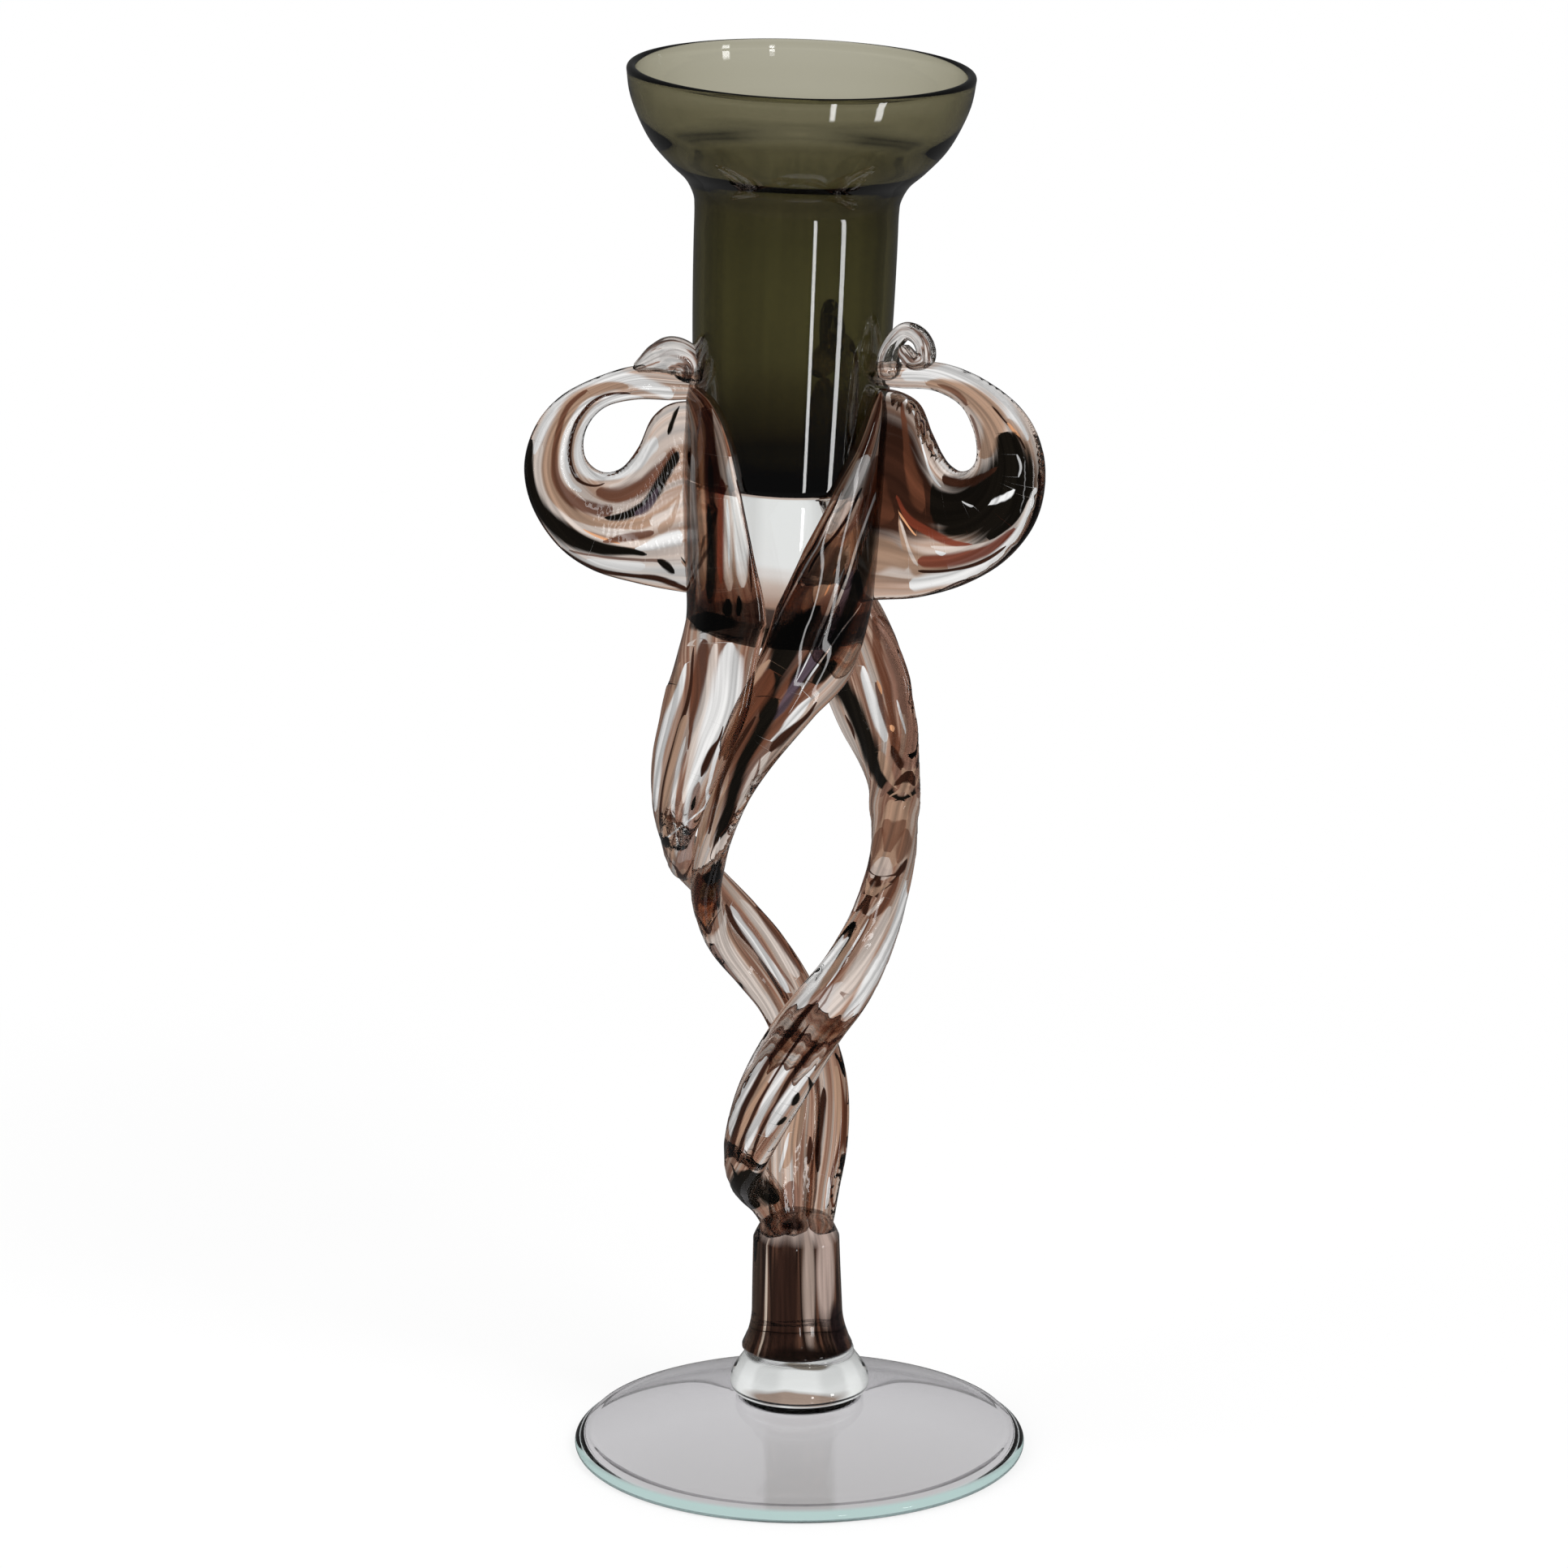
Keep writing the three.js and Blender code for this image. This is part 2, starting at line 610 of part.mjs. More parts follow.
// Glass of the pieces
const OLIVE = { color: 0x4a4a30, roughness: 0.05, opacity: 0.85 };
const CLEAR = { color: 0xdfe6e2, roughness: 0.03, opacity: 0.35 };
const STREAKED = { color: 0x8a6258, roughness: 0.06, opacity: 0.7 };
const SMOKY = { color: 0x6e5148, roughness: 0.06, opacity: 0.75 };

const vase = new THREE.Group();

function addPiece(name, geometry, glass) {
  const material = new THREE.MeshStandardMaterial({ ...glass, metalness: 0, transparent: true });
  const mesh = new THREE.Mesh(geometry, material);
  mesh.name = name;
  mesh.position.set(FOOT_X, FOOT_Y, 0);
  vase.add(mesh);
}

// A piece without the room that its neighbours take up
function fitted(geometry, neighbours) {
  const cut = neighbours.reduce((solid, other) => solid.subtract(other), solidOf(geometry));
  return geometryOf(largest(cut));
}

const body = [solidOf(leaned(cup(SEAM))), solidOf(leaned(cupBase(SEAM)))];
const stumpRoom = solidOf(stump(SEAM));
const strandRows = { left: LEFT_ROWS, right: RIGHT_ROWS, back: BACK_ROWS };
const strandRooms = Object.values(strandRows).map((rows) => solidOf(strand(rows, SEAM)));

addPiece("foot", foot(), CLEAR);
addPiece("clear_ring", clearRing(), CLEAR);
addPiece("stump", geometryOf(solidOf(stump(0))), SMOKY);
addPiece("cup_base", leaned(cupBase(0)), CLEAR);
addPiece("cup", leaned(cup(0)), OLIVE);

Object.entries(strandRows).forEach(([name, rows], i) => {
  const others = [...body, stumpRoom, ...strandRooms.slice(0, i)];
  addPiece(`strand_${name}`, fitted(strand(rows, 0), others), STREAKED);
});

for (const shape of EARS) {
  addPiece(`loop_${shape.name}`, fitted(ear(shape, 0), [...body, ...strandRooms]), STREAKED);
  const rooms = [...body, ...strandRooms, solidOf(ear(shape, SEAM))];
  addPiece(`curl_${shape.name}`, fitted(curl(shape), rooms), CLEAR);
}

export default vase;
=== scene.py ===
"""A hand made glass vase, dressed for rendering: swept strands and ears, turned cup, ring and foot."""

import math

import bmesh
import bpy
from mathutils import Euler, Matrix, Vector
from mathutils.bvhtree import BVHTree


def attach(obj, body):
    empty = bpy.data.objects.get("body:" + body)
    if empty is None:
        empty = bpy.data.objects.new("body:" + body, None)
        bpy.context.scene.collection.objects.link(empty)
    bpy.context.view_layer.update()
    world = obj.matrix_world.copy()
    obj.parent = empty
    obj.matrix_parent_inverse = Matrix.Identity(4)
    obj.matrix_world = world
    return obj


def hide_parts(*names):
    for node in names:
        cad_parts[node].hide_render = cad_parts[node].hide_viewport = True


bl_info = {
    "name": "Hand Made Glass Vase",
    "version": (1, 0, 0),
    "blender": (4, 5, 0),
    "location": "3D Viewport > Sidebar > Glass Vase",
    "description": "Builds the glass pieces, their materials and the studio of a footed art glass vase",
    "category": "Object",
}

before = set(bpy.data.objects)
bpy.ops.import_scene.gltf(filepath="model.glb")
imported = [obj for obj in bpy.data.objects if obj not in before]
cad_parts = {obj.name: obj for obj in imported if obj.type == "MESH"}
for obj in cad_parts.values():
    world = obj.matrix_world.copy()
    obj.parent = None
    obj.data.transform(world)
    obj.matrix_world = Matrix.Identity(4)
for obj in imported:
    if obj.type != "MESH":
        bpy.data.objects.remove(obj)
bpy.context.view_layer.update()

MM = 0.001
DEGREES = 180 / math.pi

# Points of a piece this near to each other are one, in metres
MERGE_DISTANCE = 2e-6

# The photograph is square. Where its camera stood, in metres, how it looked down, and its lens
PHOTO_SIZE = 1932
PHOTO_ASIDE = 0.000151
PHOTO_DISTANCE = 1.6464
PHOTO_HEIGHT = 0.6101
PHOTO_PITCH = math.radians(15.38)
PHOTO_LENS = 174.49
SENSOR_WIDTH = 36

# The studio's table and where its lights aim, in metres
TABLE_RADIUS = 0.42
TABLE_SIDES = 128
LIGHT_AIM = Vector((0, 0, 0.15))

# Where the middle of the foot stands, in millimetres
FOOT_X = 3.7
FOOT_Y = -1.5

# Levels of the pieces above the table, in millimetres
SEAM = 0.3
FOOT_TOP = 14.0
RING_HEIGHT = 10.0
STUMP_LEVEL = 24.6
# Where a dark crescent of painted shade lies on the back of the collar's bend
CREASE_SHADE_LEVEL = 299.5
STUMP_HEIGHT = 31.5
TWIST_LEVEL = 56.1
TWIST_HEIGHT = 141.0
BASE_LEVEL = 197.1
BASE_HEIGHT = 31.0
CUP_LEVEL = 228.1
COLLAR_LEVEL = 287.1
RIM_LEVEL = 320.1
LEAF_HEIGHT = 22.0
BASE_DROP = 4.5
BASE_EDGE = 2.6
LOOP_LEVEL = 202.1

# The foot: its edge is a half round, its top rises to a flat, and its underside is hollow
FOOT_RADIUS = 51.6
FOOT_EDGE = 1.65
FOOT_FLAT = 13.5
FOOT_BULGE = 0.72
FOOT_WALL = 3.4
FOOT_CEILING = 10.6

# Radii and walls, in millimetres
TUBE_RADIUS = 22.5
BODY_TAPER = 4.9
RIM_RADIUS = 38.4
RIM_WALL = 2.2
TUBE_WALL = 2.5
CUP_FLOOR = 4.0
FLOOR_CORNER = 3
CUP_EDGE = 0.8
LEAN = math.radians(2)
RIM_SHIFT = 0.35
STUMP_SHIFT = -0.6
STUMP_RADIUS = 9.7
TWIST_RADIUS = 24.0
STRAND_WIDTH = 14.0
STRAND_DEPTH = 8.0
LEAF_SINK = 0.28
WRAP_HEIGHT = 20.0

# Collar from its foot to the rim: shares of its height and of its flare
COLLAR_OUTSIDE = [(0, 0), (0.06, 0.004), (0.13, 0.02), (0.25, 0.14), (0.36, 0.37), (0.51, 0.64),
                  (0.67, 0.82), (0.84, 0.95), (1, 1)]
COLLAR_INSIDE = [(0.02, -0.02), (0.14, -0.02), (0.24, 0.02), (0.32, 0.14), (0.4, 0.36), (0.53, 0.61),
                 (0.68, 0.82), (0.86, 0.96), (0.97, 1.0)]

# Rows of a strand from its leaf's tip to the stump: level, turn, reach, width, depth and roll.
# Level counts 0 at the stump, 1 at the base, 2 at the cup's floor and 3 at the tip.
LEFT_ROWS = [
    (3.0, -176, 0, 0.15, 0.3, 0),
    (2.6, -155, 0, 1.33, 0.45, 0),
    (2.0, -152, 0, 1.85, 0.58, 0),
    (1.5, -149, 0, 2.08, 0.64, 0),
    (1.04, -143.5, 0, 2.1, 0.75, 0),
    (0.905, -133.5, 1.02, 1.58, 0.9, -10),
    (0.84, -138, 1.1, 1.37, 0.95, -16),
    (0.77, -145, 1.16, 1.2, 0.95, -20),
    (0.7, -154, 1.15, 1.0, 0.95, -18),
    (0.63, -172, 1.03, 0.82, 0.95, -8),
    (0.585, -193, 0.97, 0.7, 0.92, 0),
    (0.545, -210, 0.94, 0.63, 0.9, 0),
    (0.47, -236, 0.85, 0.61, 0.9, 0),
    (0.41, -254, 0.725, 0.61, 0.9, 0),
    (0.32, -280, 0.615, 0.6, 0.92, 0),
    (0.19, -309, 0.55, 0.6, 0.95, 0),
    (0.1, -317, 0.44, 0.64, 0.95, 0),
    (0.03, -317, 0.32, 0.68, 0.85, 0),
    (-0.05, -317, 0.23, 0.6, 0.7, 0),
]
RIGHT_ROWS = [
    (3.0, -27, 0, 0.15, 0.3, 0),
    (2.7, -27, 0, 0.6, 0.4, 0),
    (2.35, -30, 0, 0.95, 0.47, 0),
    (1.93, -37, 0, 1.4, 0.57, 0),
    (1.5, -45, 0, 1.8, 0.64, 0),
    (1.04, -60, 0, 1.8, 0.75, 0),
    (0.906, -90, 0.84, 1.24, 0.85, 0),
    (0.826, -111, 0.835, 1.0, 0.88, 0),
    (0.753, -127.5, 0.83, 0.82, 0.9, 0),
    (0.68, -142, 0.815, 0.68, 0.9, 0),
    (0.6, -161, 0.785, 0.58, 0.88, 0),
    (0.52, -187, 0.775, 0.56, 0.85, 0),
    (0.446, -209, 0.75, 0.57, 0.8, 0),
    (0.376, -236, 0.68, 0.56, 0.8, 0),
    (0.307, -259, 0.585, 0.54, 0.8, 0),
    (0.187, -282, 0.42, 0.6, 0.8, 0),
    (0.1, -264, 0.28, 0.96, 0.8, 0),
    (0.03, -256, 0.19, 0.92, 0.75, 0),
    (-0.05, -250, 0.12, 0.6, 0.65, 0),
]
BACK_ROWS = [
    (1.42, 52, 0, 0.3, 0.25, 0),
    (1.25, 48, 0, 1.3, 0.5, 0),
    (1.04, 43, 0, 1.9, 0.75, 0),
    (0.908, 38, 0.91, 1.76, 0.9, -14),
    (0.828, 31, 0.97, 1.55, 0.95, -24),
    (0.775, 23, 1.02, 1.42, 1.1, -22),
    (0.72, 14, 1.035, 1.26, 1.26, -12),
    (0.66, 4, 1.01, 1.18, 1.3, 0),
    (0.6, -9, 0.98, 1.16, 1.25, 0),
    (0.504, -29, 0.89, 1.24, 1.2, 0),
    (0.43, -47, 0.79, 1.22, 1.1, 0),
    (0.351, -75, 0.67, 1.12, 1.05, 0),
    (0.243, -109, 0.585, 1.08, 1.0, 0),
    (0.148, -140, 0.55, 1.02, 1.05, 0),
    (0.095, -160, 0.52, 0.96, 1.08, 0),
    (0.055, -184, 0.43, 0.88, 1.02, 0),
    (0.01, -204, 0.28, 0.72, 0.9, 0),
    (-0.05, -215, 0.15, 0.5, 0.7, 0),
]

# Rows round an ear: outline and hole as shares of its reach and height, and a share of its thickness
LEFT_EAR = [
    (-0.09, 0.95, -0.09, 0.845, 0.5),
    (0.1, 0.975, 0.12, 0.84, 0.62),
    (0.33, 0.99, 0.33, 0.848, 0.66),
    (0.58, 0.94, 0.51, 0.822, 0.68),
    (0.78, 0.865, 0.6, 0.765, 0.76),
    (0.92, 0.75, 0.645, 0.69, 0.88),
    (0.995, 0.59, 0.64, 0.61, 0.98),
    (0.97, 0.42, 0.59, 0.56, 1.0),
    (0.83, 0.235, 0.52, 0.538, 1.0),
    (0.64, 0.125, 0.43, 0.555, 0.97),
    (0.36, 0.055, 0.33, 0.64, 0.88),
    (0.16, 0.02, 0.24, 0.77, 0.76),
    (0.04, 0.006, 0.13, 0.826, 0.68),
    (-0.09, 0.0, -0.09, 0.832, 0.6),
]
RIGHT_EAR = [
    (-0.09, 0.96, -0.09, 0.885, 0.5),
    (0.1, 0.985, 0.12, 0.882, 0.6),
    (0.35, 0.995, 0.33, 0.885, 0.62),
    (0.58, 0.95, 0.49, 0.835, 0.66),
    (0.81, 0.85, 0.565, 0.755, 0.78),
    (0.93, 0.74, 0.6, 0.68, 0.9),
    (0.995, 0.59, 0.6, 0.62, 1.0),
    (0.975, 0.4, 0.56, 0.58, 1.05),
    (0.84, 0.235, 0.49, 0.568, 1.05),
    (0.62, 0.115, 0.41, 0.605, 1.0),
    (0.36, 0.04, 0.32, 0.71, 0.9),
    (0.17, 0.015, 0.235, 0.825, 0.76),
    (0.04, 0.004, 0.12, 0.866, 0.68),
    (-0.09, 0.0, -0.09, 0.872, 0.6),
]
# Rows along a curl: out from the cup's wall, up from its ear's top, aside, and the rod's radius
LEFT_CURL = [
    (13.4, -1.4, 0, 0.8),
    (10.8, -0.3, 0, 2.2),
    (8.0, 0.9, 0, 3.5),
    (4.8, 1.5, 0.2, 4.4),
    (2.2, 0.4, 0.3, 4.2),
    (1.3, -2.0, 0.2, 3.5),
    (2.0, -4.6, 0, 2.8),
]
RIGHT_CURL = [
    (4.2, -4.2, -2.4, 3.4),
    (2.2, -0.8, -1.6, 2.6),
    (2.8, 3.5, -0.6, 2.1),
    (5.2, 6.2, 0, 2.0),
    (8.1, 5.4, 0.2, 2.1),
    (10.2, 2.8, -0.2, 2.2),
    (10.4, 0.4, -0.9, 2.2),
    (8.4, 0.0, -1.6, 2.0),
    (6.6, 1.8, -2.2, 1.8),
    (5.2, 3.4, -2.4, 1.4),
]
CURL_STEPS = 90
CURL_SIDES = 36
EARS = {
    "left": {"rows": LEFT_EAR, "turn": -172, "reach": 38.2, "height": 53, "thickness": 10.5,
             "curl": LEFT_CURL},
    "right": {"rows": RIGHT_EAR, "turn": -25, "reach": 41, "height": 55.5, "thickness": 12,
              "curl": RIGHT_CURL},
    "back": {"rows": LEFT_EAR, "turn": 70, "reach": 38.5, "height": 53, "thickness": 11,
             "curl": RIGHT_CURL},
}

# How streaks are found on a piece: where to look past an edge, in half widths, how far along the piece
# two edges may lie apart, and limits of the half width, as shares of the piece's own
EDGE_TRIES = (-1, 1, -2.5, 2.5, -4, 4, -6, 6)
SAME_ROW = 0.08
USUAL_HALF_WIDTH = 0.05
LEAST_HALF_WIDTH = 0.015
WIDEST_TO_USUAL = 2.2
STREAK_ROOM = 0.006

# Streaks of each piece, picked along the real ones and painted in this order. A line holds the
# colour, how strongly it shows, and points with their place in the photograph's pixels and half the
# streak's width there. A colour that ends in _ has its width measured level, and a line with @ holds the
# share of the way along the piece, the place across it and half the width instead.
# The left strand's wide black_ streak is painted reflection: the dark cup seen in the base's underside.
# The orange streaks are, for the most part, painted glints of warm light.
# The white streaks in these lists are painted highlights, laid into the glass's colour where it shines.
LEFT_STRAND_STREAKS = """
mauve 0.3: 880,790,26 872,830,26 862,870,25 852,905,22 843,945,20 836,990,16 838,1030,13
brown 0.9: 866,500,10 868,540,12 870,580,14 874,620,15 877,660,15 877,710,15 873,750,16 866,768,16
clear 0.9: 853,560,4 852,620,4 856,680,3.5 857,715,3.5
tan 0.9: 862,510,4 863,560,5 864,620,5 866,680,5 866,730,4
pale 0.95: 878,500,3 884,530,5 890,565,6 897,600,6
dark 1: 874,560,3 876,600,3.5 879,660,4 879,700,5 876,745,7
black 1: 873,620,3 875,660,4 876,700,5 874,740,5
red 0.8: 889,590,5 890,640,5 889,680,4 888,720,3
pale 0.9: 897,600,5 898,650,6 899,700,6 899,730,5
white 1: 896,615,1.5 897,650,1.8 899,700,1.5
tan 0.8: 904,630,3 906,680,4 905,720,4
clear 1: 900,560,7 906,620,7 913,680,8 915,725,6
dark 1: 907,590,1.2 918,630,1.3 923,665,1.3 924,700,1.3 926,730,1.2
dark 1: 848,520,1.5 848,600,1.5 849,660,1.5 851,715,1.5
black 1: 897,735,3 897,750,6 897,760,6
black 1: 911,733,2 911,745,4 911,760,4
brown 0.9: 851,725,6 850,745,7 849,760,7
tan 0.8: 838,815,3 832,840,3 826,862,3.5 820,885,3
clear 1: 847,815,3 840,840,4 832,862,5 822,890,5.5 814,920,5 809,960,4 807,1000,3
pale 0.9: 848,797,4 855,790,4
brown 0.95: 868,787,9 864,815,9 861,840,9 857,860,7 853,885,4 850,905,2 847,925,1.5
dark 1: 856,795,2 853,830,2 850,855,2.2 843,880,2.2 834,905,2.2 825,935,2 818,965,2 814,1000,1.8
  814,1025,2.2
tan 0.9: 846,880,4 838,905,4 830,935,4 823,965,4 819,1000,4 820,1025,4.5 826,1045,5 836,1065,5
clear 0.8: 845,908,2 836,940,2.2 830,975,2.2 829,1005,2.5 834,1030,3 842,1055,3
mauve 0.9: 846,925,1.6 840,950,1.6 835,985,1.6 834,1015,1.6 839,1045,1.6 847,1068,1.6
pale 0.9: 883,790,6 878,825,6 871,860,6 861,900,5 850,945,4 841,990,3
clear 1: 900,790,10 899,815,13 894,845,17 885,880,16 873,915,12 862,945,9 851,980,6 845,1010,6 846,1040,5
  850,1060,4
dark 1: 892,893,1 885,911,2 875,928,4 867,947,4.5 863,958,3
mauve 0.85: 861,962,4 856,980,5 852,1000,5 850,1025,5 850,1050,5 850,1070,5
black 1: 857,980,2 853,992,3 851,1000,1.5
dark 1: 812,1030,3 820,1050,3 832,1068,3 846,1085,3
white 0.9: 905,872,2 893,900,2 881,935,2 871,970,2 863,1000,2 857,1030,1.8
dark 1: 893,1112,3 903,1135,4.5 918,1160,5 935,1185,5 951,1210,5 965,1232,4
clear 0.95: 900,1115,3 915,1140,4 933,1165,5 952,1195,5 972,1225,6
mauve 0.9: 907,1118,1.6 925,1142,1.6 945,1170,1.8 962,1195,2 980,1220,2
pale 0.95: 912,1108,4 930,1130,5 950,1155,6 968,1182,7 985,1205,7
brown 0.8: 930,1115,2.5 950,1143,3.5 970,1170,4 990,1200,4
black_ 1: 875,755,34 875,766,34 875,780,34
dark 1: 1015,1340,4 1012,1375,4 1008,1410,4 1007,1445,3
tan 0.9: 1030,1310,6 1033,1350,6 1036,1385,6 1036,1420,5
brown 1: 1042,1310,3.5 1043,1350,3.5 1041,1400,4 1037,1450,4 1030,1490,3
white 0.8: 1022,1448,2 1020,1470,2 1017,1492,2
brown 0.9: 1003,1310,2 1004,1330,2 1005,1350,2
"""
RIGHT_STRAND_STREAKS = """
brown 0.85: 1040,700,45 1020,740,45 1000,780,44 978,820,40 955,860,36 932,905,30 915,950,22 902,1000,16
  890,1050,12
tan 0.5: 935,1240,16 915,1205,16 898,1170,14 888,1140,10
tan 0.85: 1050,655,24 1030,690,26 1010,730,26
mauve 0.7: 1085,560,10 1076,620,16 1064,670,22 1045,715,26 1025,755,26
clear 0.95: 1068,560,8 1050,600,9 1035,630,9 1018,660,8
dark 1: 1040,600,1.3 1020,637,1.3 1000,675,1.3 985,700,2 972,730,2.5 960,760,2 950,785,2
white 0.9: 1045,605,1 1026,637,1.2 1006,675,1.2 992,697,1.2 975,728,1.2 962,755,1.2 950,778,1.5
dark 1: 1062,600,2 1047,630,2 1033,655,2.5 1018,672,2.5 1003,690,2 994,706,2
dark 1: 1012,685,1.3 1024,687,1.3 1032,691,1.3
mauve 0.8: 1068,610,4 1055,638,4 1042,660,4
tan 0.95: 1060,645,5 1048,668,8 1035,690,10 1018,715,11 1000,738,10 988,752,8
orange 0.9: 1030,698,1.5 1026,708,1.2
orange 0.9: 1023,716,1.2 1018,728,1.6 1015,735,1
black 1: 1010,745,8 990,765,14 975,780,18 965,800,20 955,830,14 945,860,9 936,890,5
brown 0.95: 950,825,14 942,840,14 930,860,13 917,883,10 903,910,8 892,940,7 882,970,6 873,1000,5 866,1030,4
tan 0.9: 948,812,5 936,826,5 922,848,4 908,880,3.5 897,910,3.5 886,945,3.5 876,980,3.5 868,1015,3.5
  862,1045,3
dark 1: 944,824,2 955,830,3 968,836,3
dark 1: 930,858,1.8 943,858,2.2 958,858,2
black 1: 1098,600,6 1090,630,8 1080,660,9 1068,690,9 1058,720,10 1045,750,11 1030,780,14 1010,805,14
  988,830,10 970,855,8
brown 0.9: 1096,640,3 1088,680,6 1078,715,8 1066,745,8 1050,775,7 1035,797,6
red 0.8: 1092,650,2 1084,690,3 1074,725,3
mauve 0.85: 1090,705,3 1082,735,6 1068,765,8 1052,790,8
black 1: 1058,705,8 1050,735,8 1040,765,9 1022,795,9 1000,822,8
dark 1: 1070,640,2.5 1056,680,3 1040,720,3.5 1022,760,4 1005,795,4
purple 0.9: 1052,700,3 1040,735,4 1025,770,4.5 1005,805,5 985,835,6 968,862,6 952,888,4
white 1: 1082,600,1.6 1068,640,1.6 1056,675,1.6 1046,705,1.4 1035,735,1.4 1022,765,1.2 1005,800,1
white 0.9: 1040,700,1 1030,725,1.8 1018,755,1.8 1008,780,1.5 995,810,1 980,840,1
white 0.9: 1062,742,0.8 1040,772,1.2 1018,803,1.2 1000,830,1 982,858,0.8
pale 0.95: 1091,742,3 1080,765,4 1065,787,5 1050,802,5
black 1: 1030,812,8 1015,828,8 1000,845,6
black 1: 958,858,9 945,885,9 930,912,8 917,938,8 907,965,8 898,995,7 889,1025,7 882,1055,6 877,1078,6
dark 1: 932,880,2 915,908,2.5 902,932,3 890,962,2.5 881,995,2.5 873,1030,2.5
tan 0.8: 898,955,1.8 890,985,2.5 882,1015,2.5 875,1045,2
white 0.8: 889,1030,0.8 885,1048,1 881,1065,0.8
pale 0.95: 950,925,3 938,942,5 926,965,6 914,990,6 905,1020,5 896,1050,4 892,1078,3
clear 1: 1000,858,4 988,872,6 975,888,5 962,903,4 948,915,2.5
dark 1: 1008,862,2.5 996,880,3 980,895,4 965,908,6 953,920,6 948,928,4
brown 0.8: 938,930,1.2 934,950,1.5 928,965,1.2
dark 1: 918,1010,1.2 908,1035,1.5 898,1052,2 890,1062,1.5
black 1: 880,1070,8 878,1088,10 876,1100,9 872,1112,4
brown 0.9: 862,1075,6 861,1095,7 860,1112,6 858,1122,4
olive 0.8: 868,1085,3 866,1100,4 864,1110,2
orange 0.6: 878,1112,5 872,1125,8 870,1138,7 868,1146,4
dark 1: 890,1112,1.8 882,1130,2 875,1150,2 874,1160,1.5
pale 1: 893,1120,4 890,1150,8 898,1175,12 915,1205,13 935,1235,12 955,1262,10
brown 0.8: 872,1160,1.5 890,1182,1.8 912,1213,2 935,1245,2.2
dark 1: 998,1398,3 997,1415,3 995,1435,3
tan 0.9: 985,1355,8 980,1385,8 973,1412,8 966,1440,8
white 0.8: 972,1395,2 966,1420,2 960,1445,2
mauve 0.9: 975,1455,12 975,1478,12 975,1500,10
"""
